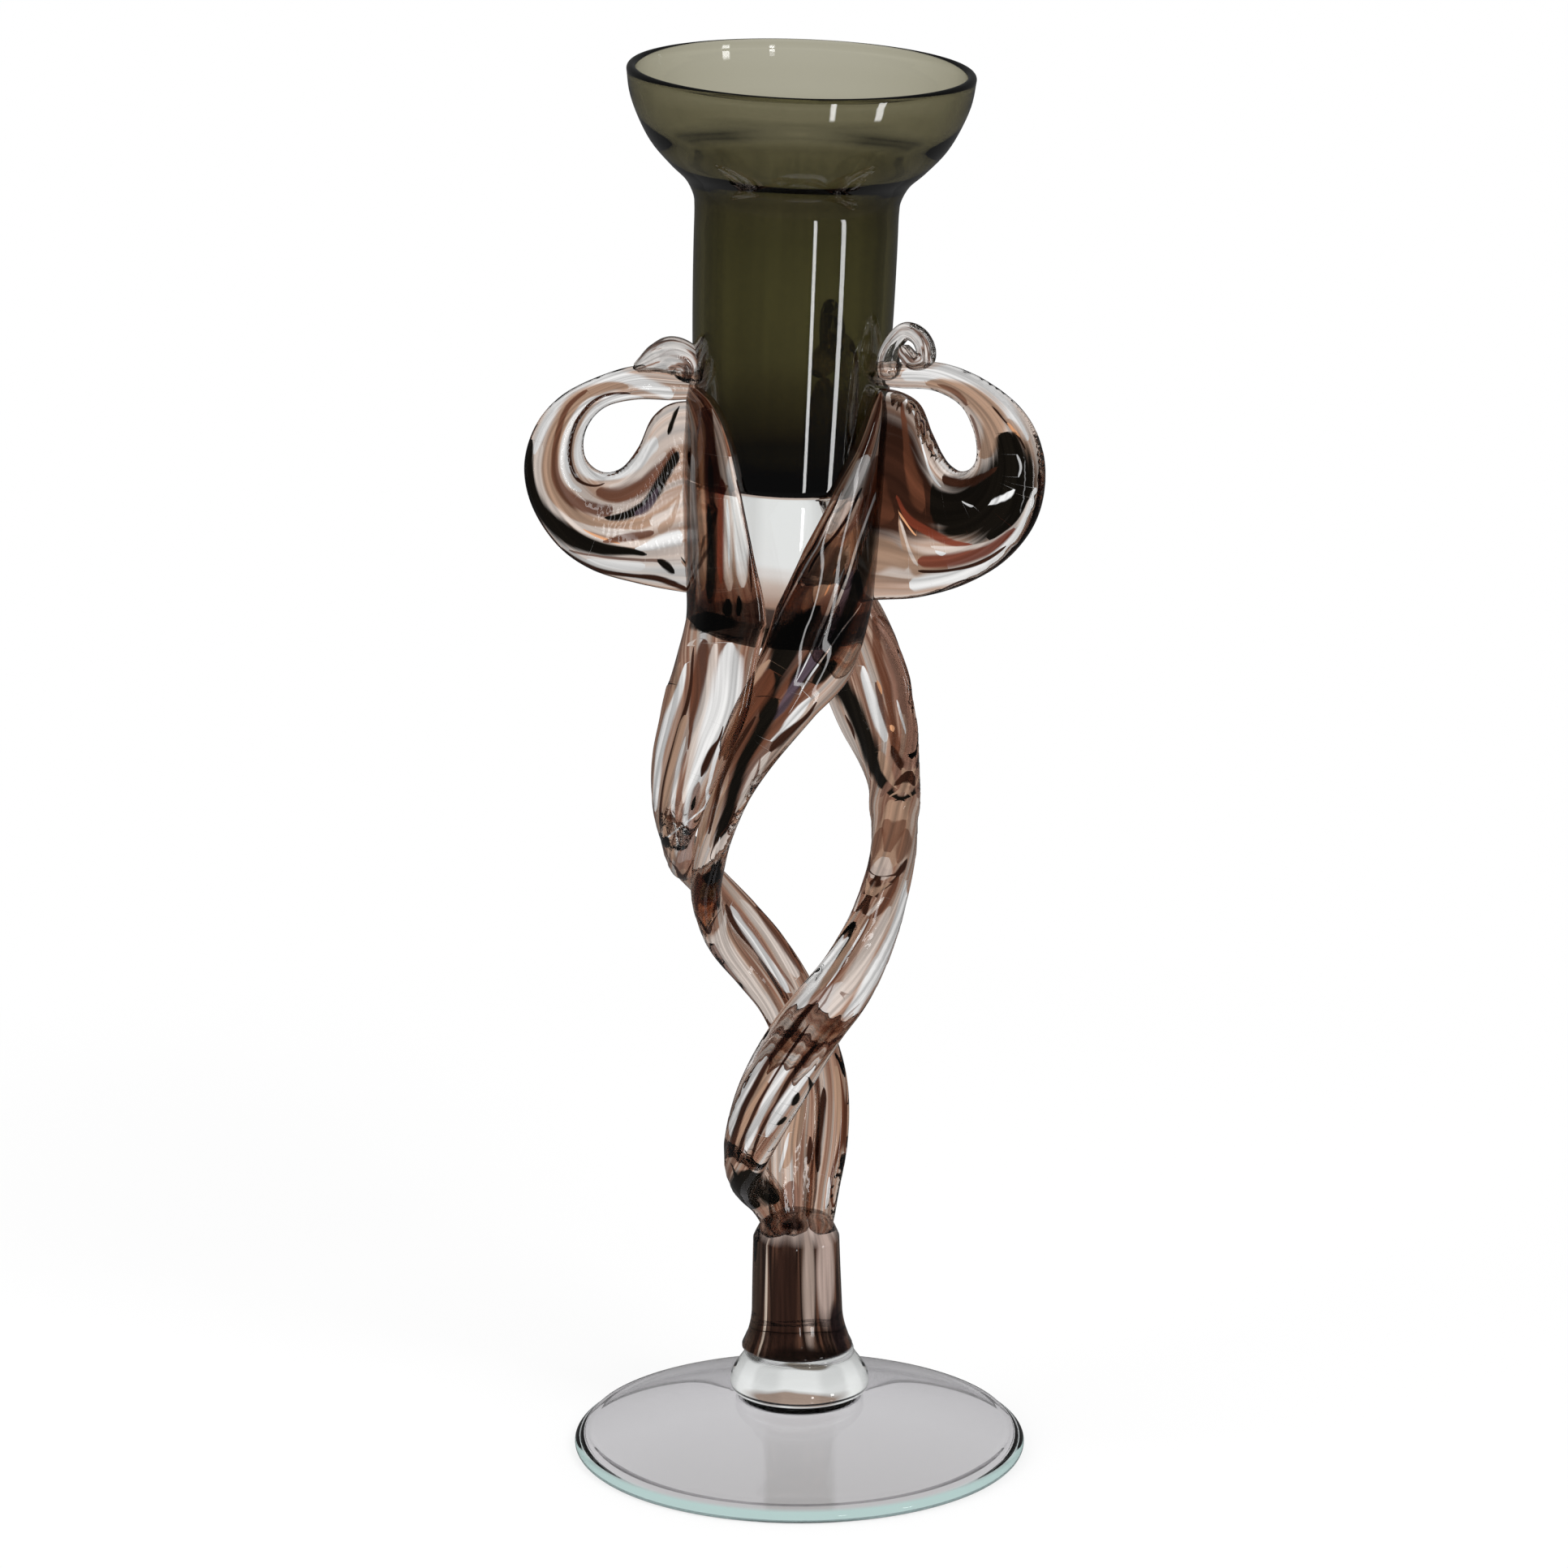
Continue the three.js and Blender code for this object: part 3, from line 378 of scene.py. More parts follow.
BACK_STRAND_STREAKS = """
clear 0.6: 1040,1210,10 1015,1245,12 990,1275,12 965,1305,12 945,1335,10
mauve 0.95: 1088,745,12 1095,780,12 1103,815,12 1108,850,12 1115,880,10
brown 0.9: 1075,760,5 1080,800,6 1090,840,6 1096,870,4 1102,900,4 1104,930,6
black 1: 1020,812,14 1035,845,13 1052,875,11 1064,905,10 1075,935,10 1085,960,10 1096,975,10 1108,985,9
  1120,992,7
pale 0.85: 1012,860,4 1025,873,5 1038,893,5 1050,918,5 1058,940,5 1064,965,4
dark 1: 1040,880,1.5 1048,897,1.8 1053,912,1.2
clear 1: 1062,820,4 1068,845,6 1076,870,6.5 1084,895,6 1091,915,4
brown 0.9: 1078,840,3 1087,870,3.5 1096,898,3.5 1101,925,3
orange 0.9: 1080,838,2 1084,848,2 1086,856,1
orange 1: 1097,892,2 1099,897,3 1100,902,2
white 0.8: 1104,862,1.2 1111,885,1.8 1116,905,1.5
mauve 0.9: 1110,860,2 1120,890,4 1127,925,5 1131,960,5 1131,985,5
tan 0.9: 1083,925,4 1090,945,6 1097,960,6 1106,972,5
dark 1: 1098,918,3 1103,930,6 1108,942,6 1110,950,3
tan 0.9: 1112,945,4 1114,960,5 1118,975,6 1124,983,5
dark 1: 1122,948,3 1125,960,4 1126,970,3
tan 0.8: 1098,985,6 1100,1000,14 1103,1018,22 1104,1040,24 1100,1060,18 1094,1072,8
brown 0.7: 1092,1008,6 1092,1020,7 1092,1040,6 1093,1050,8
brown 0.7: 1117,1020,6 1118,1035,7 1112,1050,8 1106,1065,5
pale 0.6: 1090,1054,6 1086,1062,9 1080,1072,10 1075,1082,6
dark 1: 1118,1058,3 1110,1072,4 1100,1080,4 1088,1078,2.5 1074,1086,2.5 1062,1104,2.5
dark 1: 1112,1072,3 1100,1088,2.5 1080,1100,2.5 1064,1110,2.5 1052,1125,2.5
tan 0.8: 1100,1086,3 1085,1095,4 1072,1105,4
brown 0.95: 1108,1080,4 1098,1100,5 1086,1120,5 1074,1133,4
pale 0.8: 1090,1105,3 1078,1118,3 1066,1130,3
clear 1: 1116,1085,3 1113,1110,5 1106,1140,7 1094,1170,8 1078,1200,8 1062,1228,7 1048,1252,6 1038,1268,5
pale 0.9: 1098,1115,4 1086,1145,6 1070,1175,8 1052,1205,9 1036,1232,8 1020,1255,7
black 1: 1052,1134,2.5 1042,1146,6 1030,1162,6 1018,1180,4 1006,1198,4 994,1214,2
clear 0.95: 1046,1152,2.5 1032,1172,4 1016,1196,5 1000,1218,6 985,1240,7 968,1262,7 950,1284,8 933,1310,8
  917,1340,7 906,1370,6 899,1400,4
tan 0.8: 1066,1128,2 1054,1150,2.5 1040,1175,3 1025,1198,3.5 1010,1220,3.5
brown 0.85: 1075,1125,1.5 1063,1150,1.8 1048,1175,1.5 1034,1198,1.5 1020,1218,1.5 1006,1238,2
white 0.9: 1071,1130,1.2 1060,1152,1.4 1048,1172,1 1035,1192,1 1018,1218,1
brown 0.7: 1030,1210,1 1018,1232,1.5 1006,1250,1.5
brown 0.7: 1042,1222,4 1036,1228,4
brown 0.6: 1060,1236,1 1046,1250,1.3 1030,1268,1.5 1012,1288,1.5
tan 0.6: 1052,1248,2 1040,1262,3 1024,1280,3
dark 1: 1008,1232,2 992,1250,3.5 975,1272,4 960,1292,4 943,1316,4 928,1342,4 915,1368,4 905,1398,4
  898,1425,4
tan 0.9: 990,1265,3 970,1290,4 952,1315,4.5 938,1340,4.5 924,1368,4.5 914,1395,4 906,1420,3
dark 1: 998,1262,1.5 982,1284,2 965,1308,2 948,1335,2 933,1362,2 922,1388,2 913,1412,2 909,1432,2
clear 0.95: 1000,1272,3 982,1296,4.5 964,1322,5 948,1350,5 935,1376,5 924,1402,5 918,1422,4
dark 1: 1006,1285,2.5 990,1306,3 972,1332,3 956,1360,2.5 943,1384,2 932,1408,2 927,1430,2
clear 1: 1020,1285,4 1003,1308,6 985,1333,7 968,1358,7 953,1382,6 943,1402,4
black 1: 984,1346,2.5 980,1356,4 975,1364,2
black 1: 970,1374,2 962,1383,3 956,1388,2
black 1: 900,1432,8 905,1445,12 912,1460,12 925,1475,10 935,1488,8
black 1: 925,1440,8 935,1455,12 945,1468,10
black 1: 940,1462,10 950,1472,12 958,1482,10
black 1: 996,1325,3 1000,1340,4 1003,1352,3
"""
LEFT_EAR_STREAKS = """
clear 1: 830,488,8 790,472,9 750,464,8 712,480,8 684,508,7 667,535,5 658,560,3
tan 0.95: 775,477,4 745,477,6 712,492,9 692,520,10 681,552,10 677,585,10 686,612,10 705,632,9 735,645,7
  775,647,7 815,635,7 840,615,6
pale 0.9: 668,548,3 663,580,4 670,610,4 688,632,4 712,647,4 745,655,4 785,655,3
brown 0.9: 725,480,2 702,500,3 689,530,3.5 684,562,4 687,592,6 702,614,8 728,626,9 755,630,8
clear 0.9: 765,487,2 730,492,3 708,516,4 697,545,4.5 695,572,4.5 703,595,4 718,606,3
white 1: 697,548,1.5 699,568,2 704,585,1.5
dark 1: 778,485,1.5 742,488,1.8 716,511,2 704,540,2.5 703,568,2.5 712,590,2.5 728,598,2.2 745,596,1.5
clear 1: 830,500,4 795,494,4 760,491,4 735,504,5 719,532,5 714,562,5 724,582,6 750,588,6 782,574,7 812,548,7
pale 0.8: 750,600,3 780,592,5 806,575,5 822,560,3
brown 0.9: 735,604,6 765,610,10 792,600,10 815,580,9 832,556,7
black 1: 745,638,2 770,636,5 792,624,7 808,604,9 822,582,10 838,560,9
purple 0.8: 780,634,3 800,622,6 812,602,5
pale 0.95: 842,560,5 845,585,9 840,612,10 825,635,8 800,645,6
black 1: 656,540,3 653,560,5 652,585,6 657,610,8 668,632,10 688,652,12 715,668,12 745,677,9 775,680,5
  798,683,2
orange 0.95: 718,652,1 732,660,1.5 748,666,2 765,670,1.5
brown 0.9: 742,668,3 765,664,5 790,660,5 806,657,3
clear 1: 782,676,2 805,670,7 825,665,9 842,662,9
brown 0.8: 700,678,1.5 730,685,1.5 760,688,1.8 800,690,1.8 822,692,3
clear 1: 722,690,3 745,695,5 770,698,6 795,697,5
dark 1: 690,676,2 715,693,2.5 745,705,2.5 775,709,3 805,712,4 830,720,4 848,728,3
black 1: 808,690,4 822,698,8 832,705,6
black 1: 838,686,3 845,695,4 850,702,3
tan 0.9: 838,690,2 846,700,4
tan 0.8: 838,610,10 828,640,9 810,655,7
black 1: 838,500,4 830,520,8 822,538,6
"""
RIGHT_EAR_STREAKS = """
clear 1: 1110,462,10 1140,462,10 1170,458,9 1200,470,8 1228,490,7 1250,515,6 1266,545,4
tan 0.95: 1140,473,4 1170,476,7 1198,490,12 1220,512,15 1222,540,16 1210,565,10
brown 0.8: 1155,474,2 1178,484,3 1192,500,3
pale 0.9: 1172,492,3 1192,510,4 1202,535,4 1203,560,3
brown 0.8: 1195,510,2 1204,535,2 1206,555,2
tan 0.8: 1240,515,4 1258,540,5 1270,565,3
dark 1: 1222,500,1 1238,518,1.2 1254,538,1.5 1264,556,1.5
orange 1: 1240,520,1.5 1247,528,2 1258,540,1.2
dark 1@ 0.7,-0.25,0.3 0.76,-0.25,0.5 0.82,-0.22,0.62 0.87,-0.2,0.68 0.92,-0.2,0.68 0.97,-0.3,0.55
  0.99,-0.3,0.4
brown 0.5@ 0.84,0.1,0.06 0.88,0.05,0.15 0.92,0,0.25 0.96,0,0.3 0.99,0,0.2
tan 0.95@ 0.78,0.55,0.08 0.83,0.5,0.14 0.88,0.55,0.2 0.93,0.55,0.24 0.99,0.55,0.2
black 1: 1236,532,10 1243,555,20 1243,580,34 1232,605,44 1212,622,46 1190,632,42 1165,632,34 1145,618,24
dark 1: 1160,588,6 1180,594,7 1205,590,7 1228,575,6
black 1: 1255,575,10 1262,600,10 1255,630,9 1238,652,7 1215,665,5
brown 0.95: 1110,495,8 1115,530,12 1118,565,14 1125,595,15 1140,620,15
white 1: 1110,487,1.5 1124,505,1.8 1133,530,1.6 1138,555,1.6 1146,580,1.6 1160,600,1.2
white 0.9: 1252,558,1.5 1257,575,1.5 1254,590,1
white 1: 1184,617,2 1194,622,4 1200,624,2
white 1: 1218,622,2 1228,617,5 1240,612,6 1252,602,3
red 0.95: 1104,610,3 1116,635,5 1138,653,6 1165,666,6 1200,672,4
tan 0.95: 1106,640,9 1112,662,16 1120,685,20 1140,702,20 1170,700,14
pale 0.8: 1108,640,4 1114,660,6 1122,682,7 1132,697,6
orange 0.9: 1106,630,1.2 1118,648,1.5 1130,662,1.5
pale 0.9: 1145,674,2 1170,676,2.5 1200,674,2.5 1230,664,2.5 1255,642,2.5 1270,612,2.5
red 0.9: 1130,692,6 1160,692,7 1195,685,7 1228,671,6 1252,650,4
white 1: 1150,680,1.5 1158,682,2.5 1166,682,1.5
clear 1: 1120,722,8 1150,715,9 1185,707,8 1220,692,7 1248,668,6 1268,635,5 1277,600,4
dark 1: 1150,733,2 1185,726,4 1215,712,5 1245,688,5 1268,652,4 1280,615,3 1282,580,2
dark 1: 1130,703,1.5 1170,702,1.8 1210,692,1.8 1240,672,1.6
"""
STRAND_STREAKS = {"left": LEFT_STRAND_STREAKS, "right": RIGHT_STRAND_STREAKS, "back": BACK_STRAND_STREAKS}
EAR_STREAKS = {"left": LEFT_EAR_STREAKS, "right": RIGHT_EAR_STREAKS}

# What each colour of streak lets through
STREAK_COLOURS = {
    # white: painted highlights
    "white": (1.0, 1.0, 1.0),
    "clear": (0.96, 0.95, 0.94),
    "pale": (0.84, 0.73, 0.66),
    "tan": (0.5, 0.315, 0.215),
    "mauve": (0.3, 0.155, 0.11),
    "brown": (0.16, 0.055, 0.028),
    "red": (0.24, 0.05, 0.025),
    "olive": (0.17, 0.13, 0.07),
    "purple": (0.12, 0.085, 0.11),
    "dark": (0.05, 0.018, 0.01),
    "black": (0.008, 0.006, 0.004),
    # orange streaks: mostly painted glints of warm light
    "orange": (1.0, 0.5, 0.26),
}


def lerp(a, b, share):
    return a + (b - a) * share


def clamp(value):
    return max(0.0, min(1.0, value))


def steps(count, start, end):
    return [lerp(start, end, i / (count - 1)) for i in range(count)]


class Spline:
    """A centripetal Catmull-Rom curve through rows of numbers, evaluated by share of its rows."""

    def __init__(self, rows):
        self.rows = [Vector(row) for row in rows]

    def at(self, share):
        rows = self.rows
        place = clamp(share) * (len(rows) - 1)
        i = min(int(place), len(rows) - 2)
        t = place - i
        p1, p2 = rows[i], rows[i + 1]
        p0 = rows[i - 1] if i > 0 else p1 * 2 - p2
        p3 = rows[i + 2] if i + 2 < len(rows) else p2 * 2 - p1
        d1 = (p2 - p1).length_squared ** 0.25 or 1.0
        d0 = (p1 - p0).length_squared ** 0.25 or d1
        d2 = (p3 - p2).length_squared ** 0.25 or d1
        m1 = ((p1 - p0) / d0 - (p2 - p0) / (d0 + d1) + (p2 - p1) / d1) * d1
        m2 = ((p2 - p1) / d1 - (p3 - p1) / (d1 + d2) + (p3 - p2) / d2) * d1
        c2 = p1 * -3 + p2 * 3 - m1 * 2 - m2
        c3 = p1 * 2 - p2 * 2 + m1 + m2
        return p1 + m1 * t + c2 * t * t + c3 * t ** 3


def middle_at(height):
    """The leaning middle line's place along X, in millimetres."""
    if height > BASE_LEVEL:
        return FOOT_X + RIM_SHIFT - (RIM_LEVEL - height) * math.tan(LEAN)
    top = RIM_SHIFT - (RIM_LEVEL - BASE_LEVEL) * math.tan(LEAN)
    share = clamp((height - TWIST_LEVEL) / TWIST_HEIGHT)
    return FOOT_X + lerp(STUMP_SHIFT, top, share)


def around_middle(turn, reach, height):
    angle = math.radians(turn)
    return Vector((middle_at(height) + reach * math.cos(angle), FOOT_Y + reach * math.sin(angle), height))


def body_radius(height):
    share = (COLLAR_LEVEL - height) / (COLLAR_LEVEL - BASE_LEVEL)
    return TUBE_RADIUS - BODY_TAPER * clamp(share) ** 2


# Geometry node trees


class Tree:
    """A short way to write a node tree: each call adds a node and gives its first output."""

    def __init__(self, tree):
        self.tree = tree

    def node(self, kind, inputs=None, **settings):
        node = self.tree.nodes.new(kind)
        for name, value in settings.items():
            setattr(node, name, value)
        for key, value in (inputs or {}).items():
            self.feed(node.inputs[key], value)
        return node

    def feed(self, socket, value):
        if isinstance(value, bpy.types.NodeSocket):
            self.tree.links.new(value, socket)
        elif value is not None:
            socket.default_value = value

    def math(self, operation, a, b=None, c=None):
        return self.node("ShaderNodeMath", {0: a, 1: b, 2: c}, operation=operation).outputs[0]

    def plus(self, a, b):
        return self.math("ADD", a, b)

    def minus(self, a, b):
        return self.math("SUBTRACT", a, b)

    def over(self, a, b):
        return self.math("DIVIDE", a, b)

    def gap(self, a, b):
        return self.math("ABSOLUTE", self.minus(a, b))

    def times(self, first, *others):
        for other in others:
            first = self.math("MULTIPLY", first, other)
        return first

    def ranged(self, value, low, high, start=None, end=None):
        """Where the value lies from low to high, as a share or as a number from start to end."""
        ends = {0: value, 1: low, 2: high, 3: start, 4: end}
        return self.node("ShaderNodeMapRange", ends).outputs[0]

    def noise(self, place, seed=None, **values):
        values["Vector"] = place
        if seed is None:
            return self.node("ShaderNodeTexNoise", values).outputs[0]
        values["W"] = seed
        return self.node("ShaderNodeTexNoise", values, noise_dimensions="4D").outputs[0]

    def place(self):
        return self.node("ShaderNodeTexCoord").outputs["Object"]

    def parts(self, vector):
        return self.node("ShaderNodeSeparateXYZ", {0: vector}).outputs

    def vector(self, operation, a, b=None):
        return self.node("ShaderNodeVectorMath", {0: a, 1: b}, operation=operation).outputs[0]

    def scaled(self, vector, scale):
        node = self.node("ShaderNodeVectorMath", {0: vector, "Scale": scale}, operation="SCALE")
        return node.outputs[0]

    def pack(self, x, y, z):
        return self.node("ShaderNodeCombineXYZ", {0: x, 1: y, 2: z}).outputs[0]


def new_geometry_tree(name, sockets):
    tree = bpy.data.node_groups.new(name, "GeometryNodeTree")
    tree.interface.new_socket("Geometry", in_out="OUTPUT", socket_type="NodeSocketGeometry")
    tree.interface.new_socket("Rail", in_out="INPUT", socket_type="NodeSocketGeometry")
    for label, kind, default in sockets:
        socket = tree.interface.new_socket(label, in_out="INPUT", socket_type=kind)
        if default is not None:
            socket.default_value = default
    return tree


def grid_on_rail(t, rail, sides):
    """A grid with one row of points for each rail point, and fields for the row and the turn."""
    size = t.node("GeometryNodeAttributeDomainSize", {0: rail}, component="MESH").outputs["Point Count"]
    columns = t.plus(sides, 1.0)
    grid = t.node("GeometryNodeMeshGrid", {"Vertices X": size, "Vertices Y": columns}).outputs["Mesh"]
    index = t.node("GeometryNodeInputIndex").outputs[0]
    row = t.math("FLOOR", t.over(t.plus(index, 0.5), columns))
    column = t.minus(index, t.times(row, columns))
    turn = t.times(t.over(column, sides), 2 * math.pi)

    def sample(name, kind):
        value = t.node("GeometryNodeInputNamedAttribute", {"Name": name}, data_type=kind).outputs[0]
        if name == "position":
            value = t.node("GeometryNodeInputPosition").outputs[0]
        node = t.node("GeometryNodeSampleIndex", data_type=kind, domain="POINT")
        t.feed(node.inputs["Geometry"], rail)
        t.feed(node.inputs["Value"], value)
        t.feed(node.inputs["Index"], row)
        return node.outputs[0]

    return grid, turn, sample


def close_piece(t, geometry, position, flow, material, output, kept=()):
    """Places the grid, keeps its flow for the streaks, closes seam and ends, and sets the glass."""
    for name, kind, value in (*kept, ("flow", "FLOAT_VECTOR", flow)):
        geometry = t.node("GeometryNodeStoreNamedAttribute", {"Geometry": geometry, "Name": name,
                          "Value": value}, data_type=kind, domain="POINT").outputs[0]
    for kind, values in (("SetPosition", {"Position": position}),
                         ("MergeByDistance", {"Distance": MERGE_DISTANCE}),
                         ("SetShadeSmooth", {}),
                         ("RealizeInstances", {}),
                         ("SetMaterial", {"Material": material})):
        geometry = t.node("GeometryNode" + kind, {"Geometry": geometry, **values}).outputs[0]
    t.feed(output.inputs[0], geometry)


def swept_glass_tree():
    """Sweeps a fluted oval along a rail. The rail's points carry its frame, size, bend and flutes."""
    tree = new_geometry_tree("Swept Glass", [
        ("Sides", "NodeSocketInt", 64),
        ("Flutes", "NodeSocketFloat", 3.0),
        ("Flute Depth", "NodeSocketFloat", 0.0005),
        ("Material", "NodeSocketMaterial", None),
    ])
    t = Tree(tree)
    given = t.node("NodeGroupInput").outputs
    output = t.node("NodeGroupOutput")
    grid, turn, sample = grid_on_rail(t, given["Rail"], given["Sides"])
    turn = t.times(turn, -1.0)
    across, out = t.math("COSINE", turn), t.math("SINE", turn)
    phase = sample("phase", "FLOAT")
    wave = t.times(across, math.pi, given["Flutes"])
    first = t.math("COSINE", t.plus(wave, phase))
    second = t.math("COSINE", t.plus(t.times(wave, 1.7), t.times(phase, 1.6)))
    ripple = t.plus(first, t.times(second, 0.6))
    ripple = t.times(ripple, out, given["Flute Depth"])
    ripple = t.times(ripple, sample("flute", "FLOAT"))
    u = t.times(across, sample("half_width", "FLOAT"))
    v = t.plus(t.times(out, sample("half_depth", "FLOAT")), ripple)
    bend = sample("bend", "FLOAT")
    swing = t.times(u, bend)
    arm = t.plus(t.times(v, bend), 1.0)
    sideways = t.over(t.times(arm, t.math("SINE", swing)), bend)
    lift = t.minus(t.times(arm, t.math("COSINE", swing)), 1.0)
    lift = t.over(lift, bend)
    offset = t.vector("ADD", t.scaled(sample("across", "FLOAT_VECTOR"), sideways),
                      t.scaled(sample("face", "FLOAT_VECTOR"), lift))
    position = t.vector("ADD", sample("position", "FLOAT_VECTOR"), offset)
    flow = t.pack(across, out, sample("run", "FLOAT"))
    kept = [("share", "FLOAT", sample("share", "FLOAT"))]
    close_piece(t, grid, position, flow, given["Material"], output, kept)
    return tree


def turned_glass_tree():
    """Turns a profile round the vertical, with flutes where the profile asks for them, and leans it."""
    tree = new_geometry_tree("Turned Glass", [
        ("Sides", "NodeSocketInt", 96),
        ("Flutes", "NodeSocketFloat", 5.0),
        ("Flute Depth", "NodeSocketFloat", 0.0),
        ("Flute Twist", "NodeSocketFloat", 0.0),
        ("Lean", "NodeSocketFloat", 0.0),
        ("Centre", "NodeSocketVector", (0.0, 0.0, 0.0)),
        ("Material", "NodeSocketMaterial", None),
    ])
    t = Tree(tree)
    given = t.node("NodeGroupInput").outputs
    output = t.node("NodeGroupOutput")
    grid, turn, sample = grid_on_rail(t, given["Rail"], given["Sides"])
    place = t.parts(sample("position", "FLOAT_VECTOR"))
    radius, height = place[0], place[2]
    run = t.plus(t.times(turn, given["Flutes"]), t.times(height, given["Flute Twist"]))
    ripple = t.plus(t.math("COSINE", run), t.times(t.math("COSINE", t.times(turn, 3.0)), 0.5))
    ripple = t.times(ripple, given["Flute Depth"], sample("flute", "FLOAT"))
    radius = t.plus(radius, ripple)
    cos, sin = t.math("COSINE", turn), t.math("SINE", turn)
    level = t.parts(given["Centre"])[2]
    local = t.pack(t.times(radius, cos), t.times(radius, sin), t.minus(height, level))
    leaned = t.node("ShaderNodeVectorRotate", {"Vector": local, "Angle": given["Lean"]},
                    rotation_type="Y_AXIS").outputs[0]
    position = t.vector("ADD", leaned, given["Centre"])
    flow = t.pack(cos, sin, height)
    close_piece(t, grid, position, flow, given["Material"], output)
    return tree


TREES = {}


def tree_named(name):
    makers = {"Swept Glass": swept_glass_tree, "Turned Glass": turned_glass_tree}
    if name not in TREES:
        TREES[name] = makers[name]()
    return TREES[name]


def rail_object(name, points, columns):
    """A mesh of loose points in order, with one named number or vector for each point."""
    mesh = bpy.data.meshes.new(name + "_rail")
    mesh.from_pydata(points, [], [])
    for key, values in columns.items():
        kind = "FLOAT_VECTOR" if isinstance(values[0], Vector) else "FLOAT"
        attribute = mesh.attributes.new(key, kind, "POINT")
        flat = [part for value in values for part in value] if kind == "FLOAT_VECTOR" else values
        attribute.data.foreach_set("vector" if kind == "FLOAT_VECTOR" else "value", flat)
    rail = bpy.data.objects.new(name + "_rail", mesh)
    bpy.context.scene.collection.objects.link(rail)
    return rail


def face_outwards(mesh):
    shape = bmesh.new()
    shape.from_mesh(mesh)
    if shape.calc_volume(signed=True) < 0:
        mesh.flip_normals()
    shape.free()


def grown_piece(name, rail, tree_name, inputs):
    """Runs a tree on a rail and keeps its result as a plain mesh piece."""
    tree = tree_named(tree_name)
    modifier = rail.modifiers.new("Glass", "NODES")
    modifier.node_group = tree
    by_name = {item.name: item.identifier for item in tree.interface.items_tree
               if item.item_type == "SOCKET" and item.in_out == "INPUT"}
    for label, value in inputs.items():
        modifier[by_name[label]] = value
    bpy.context.view_layer.update()
    evaluated = rail.evaluated_get(bpy.context.evaluated_depsgraph_get())
    mesh = bpy.data.meshes.new_from_object(evaluated)
    mesh.name = name
    piece = bpy.data.objects.new(name, mesh)
    bpy.context.scene.collection.objects.link(piece)
    bpy.data.objects.remove(rail)
    if not mesh.polygons:
        raise RuntimeError(name + " came out empty")
    face_outwards(mesh)
    return piece


def settle(piece, nodes, slot):
    """Stands for its CAD nodes and rides with the vase."""
    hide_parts(*nodes)
    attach(piece, "root")


# Shapes


class Rail:
    """The points that a swept piece follows, each with its frame, size, bend, flutes and place."""

    def __init__(self):
        self.points, self.columns = [], {}
        self.run = 0.0
        self.before = None

    def add(self, at, across, face, half_width, half_depth, share, bend=0.0, phase=0.0, flute=1.0):
        self.run += (at - self.before).length if self.before else 0.0
        self.before = at
        self.points.append(at * MM)
        values = {"across": across, "face": face, "half_width": half_width * MM,
                  "half_depth": half_depth * MM, "bend": max(bend, 1e-3), "phase": phase, "flute": flute,
                  "run": self.run * MM, "share": share}
        for key, value in values.items():
            self.columns.setdefault(key, []).append(value)


def camera_place(distance, height, pitch):
    """Where a camera in front of the vase stands and how it is turned."""
    return Vector((PHOTO_ASIDE, -distance, height)), Euler((math.pi / 2 - pitch, 0, 0))


class Picker:
    """Finds where the photograph's pixels lie on a piece: the share of the way along, and across.
    It keeps to the place that the photograph was taken from, wherever the scene's camera stands."""

    def __init__(self, piece):
        mesh = piece.data
        self.mesh = mesh
        self.surface = BVHTree.FromPolygons([v.co for v in mesh.vertices],
                                            [p.vertices for p in mesh.polygons])
        self.eye, turn = camera_place(PHOTO_DISTANCE, PHOTO_HEIGHT, PHOTO_PITCH)
        self.turn = turn.to_matrix()
        self.focal = PHOTO_SIZE * PHOTO_LENS / SENSOR_WIDTH

    def at(self, x, y):
        middle = PHOTO_SIZE / 2
        sight = self.turn @ Vector(((x - middle) / self.focal, (middle - y) / self.focal, -1))
        hit, _, index, _ = self.surface.ray_cast(self.eye, sight.normalized())
        if hit is None:
            return None
        corners = self.mesh.polygons[index].vertices
        near = [1 / max(1e-6, (self.mesh.vertices[v].co - hit).length) for v in corners]
        flow, share = (self.mesh.attributes[name].data for name in ("flow", "share"))
        return (sum(share[v].value * k for v, k in zip(corners, near)) / sum(near),
                sum(flow[v].vector.x * k for v, k in zip(corners, near)) / sum(near))

    def row(self, x, y, half, side):
        """A streak's share, place and half width at a point. Past the glass, its nearest edge counts."""
        middle = self.at(x, y)
        edges = [self.at(x + side.x * half * k, y + side.y * half * k) for k in (-1, 1)]
        for k in EDGE_TRIES:
            if middle is None:
                middle = self.at(x + side.x * half * k, y + side.y * half * k)
                edges = [middle, middle]
        if middle is None:
            return None
        widths = [abs(edge[1] - middle[1]) for edge in edges if edge and abs(edge[0] - middle[0]) < SAME_ROW]
        width = sum(widths) / len(widths) if widths else USUAL_HALF_WIDTH
        return round(middle[0], 3), round(middle[1], 2), round(max(width, LEAST_HALF_WIDTH), 3)

    def rows(self, points, level):
        """A streak's rows, in order along the piece, with no width far above the usual one."""
        rows = []
        for i, (x, y, half) in enumerate(points):
            before, after = points[max(0, i - 1)], points[min(len(points) - 1, i + 1)]
            along = Vector((after[0] - before[0], after[1] - before[1])).normalized()
            rows.append(self.row(x, y, half, Vector((1, 0)) if level else Vector((-along.y, along.x))))
        rows = [row for row in rows if row]
        cap = WIDEST_TO_USUAL * sorted(row[2] for row in rows)[len(rows) // 2]
        rows = [(share, place, round(min(width, cap), 3)) for share, place, width in rows]
        return max(rising(rows), rising(rows[::-1]), key=len)


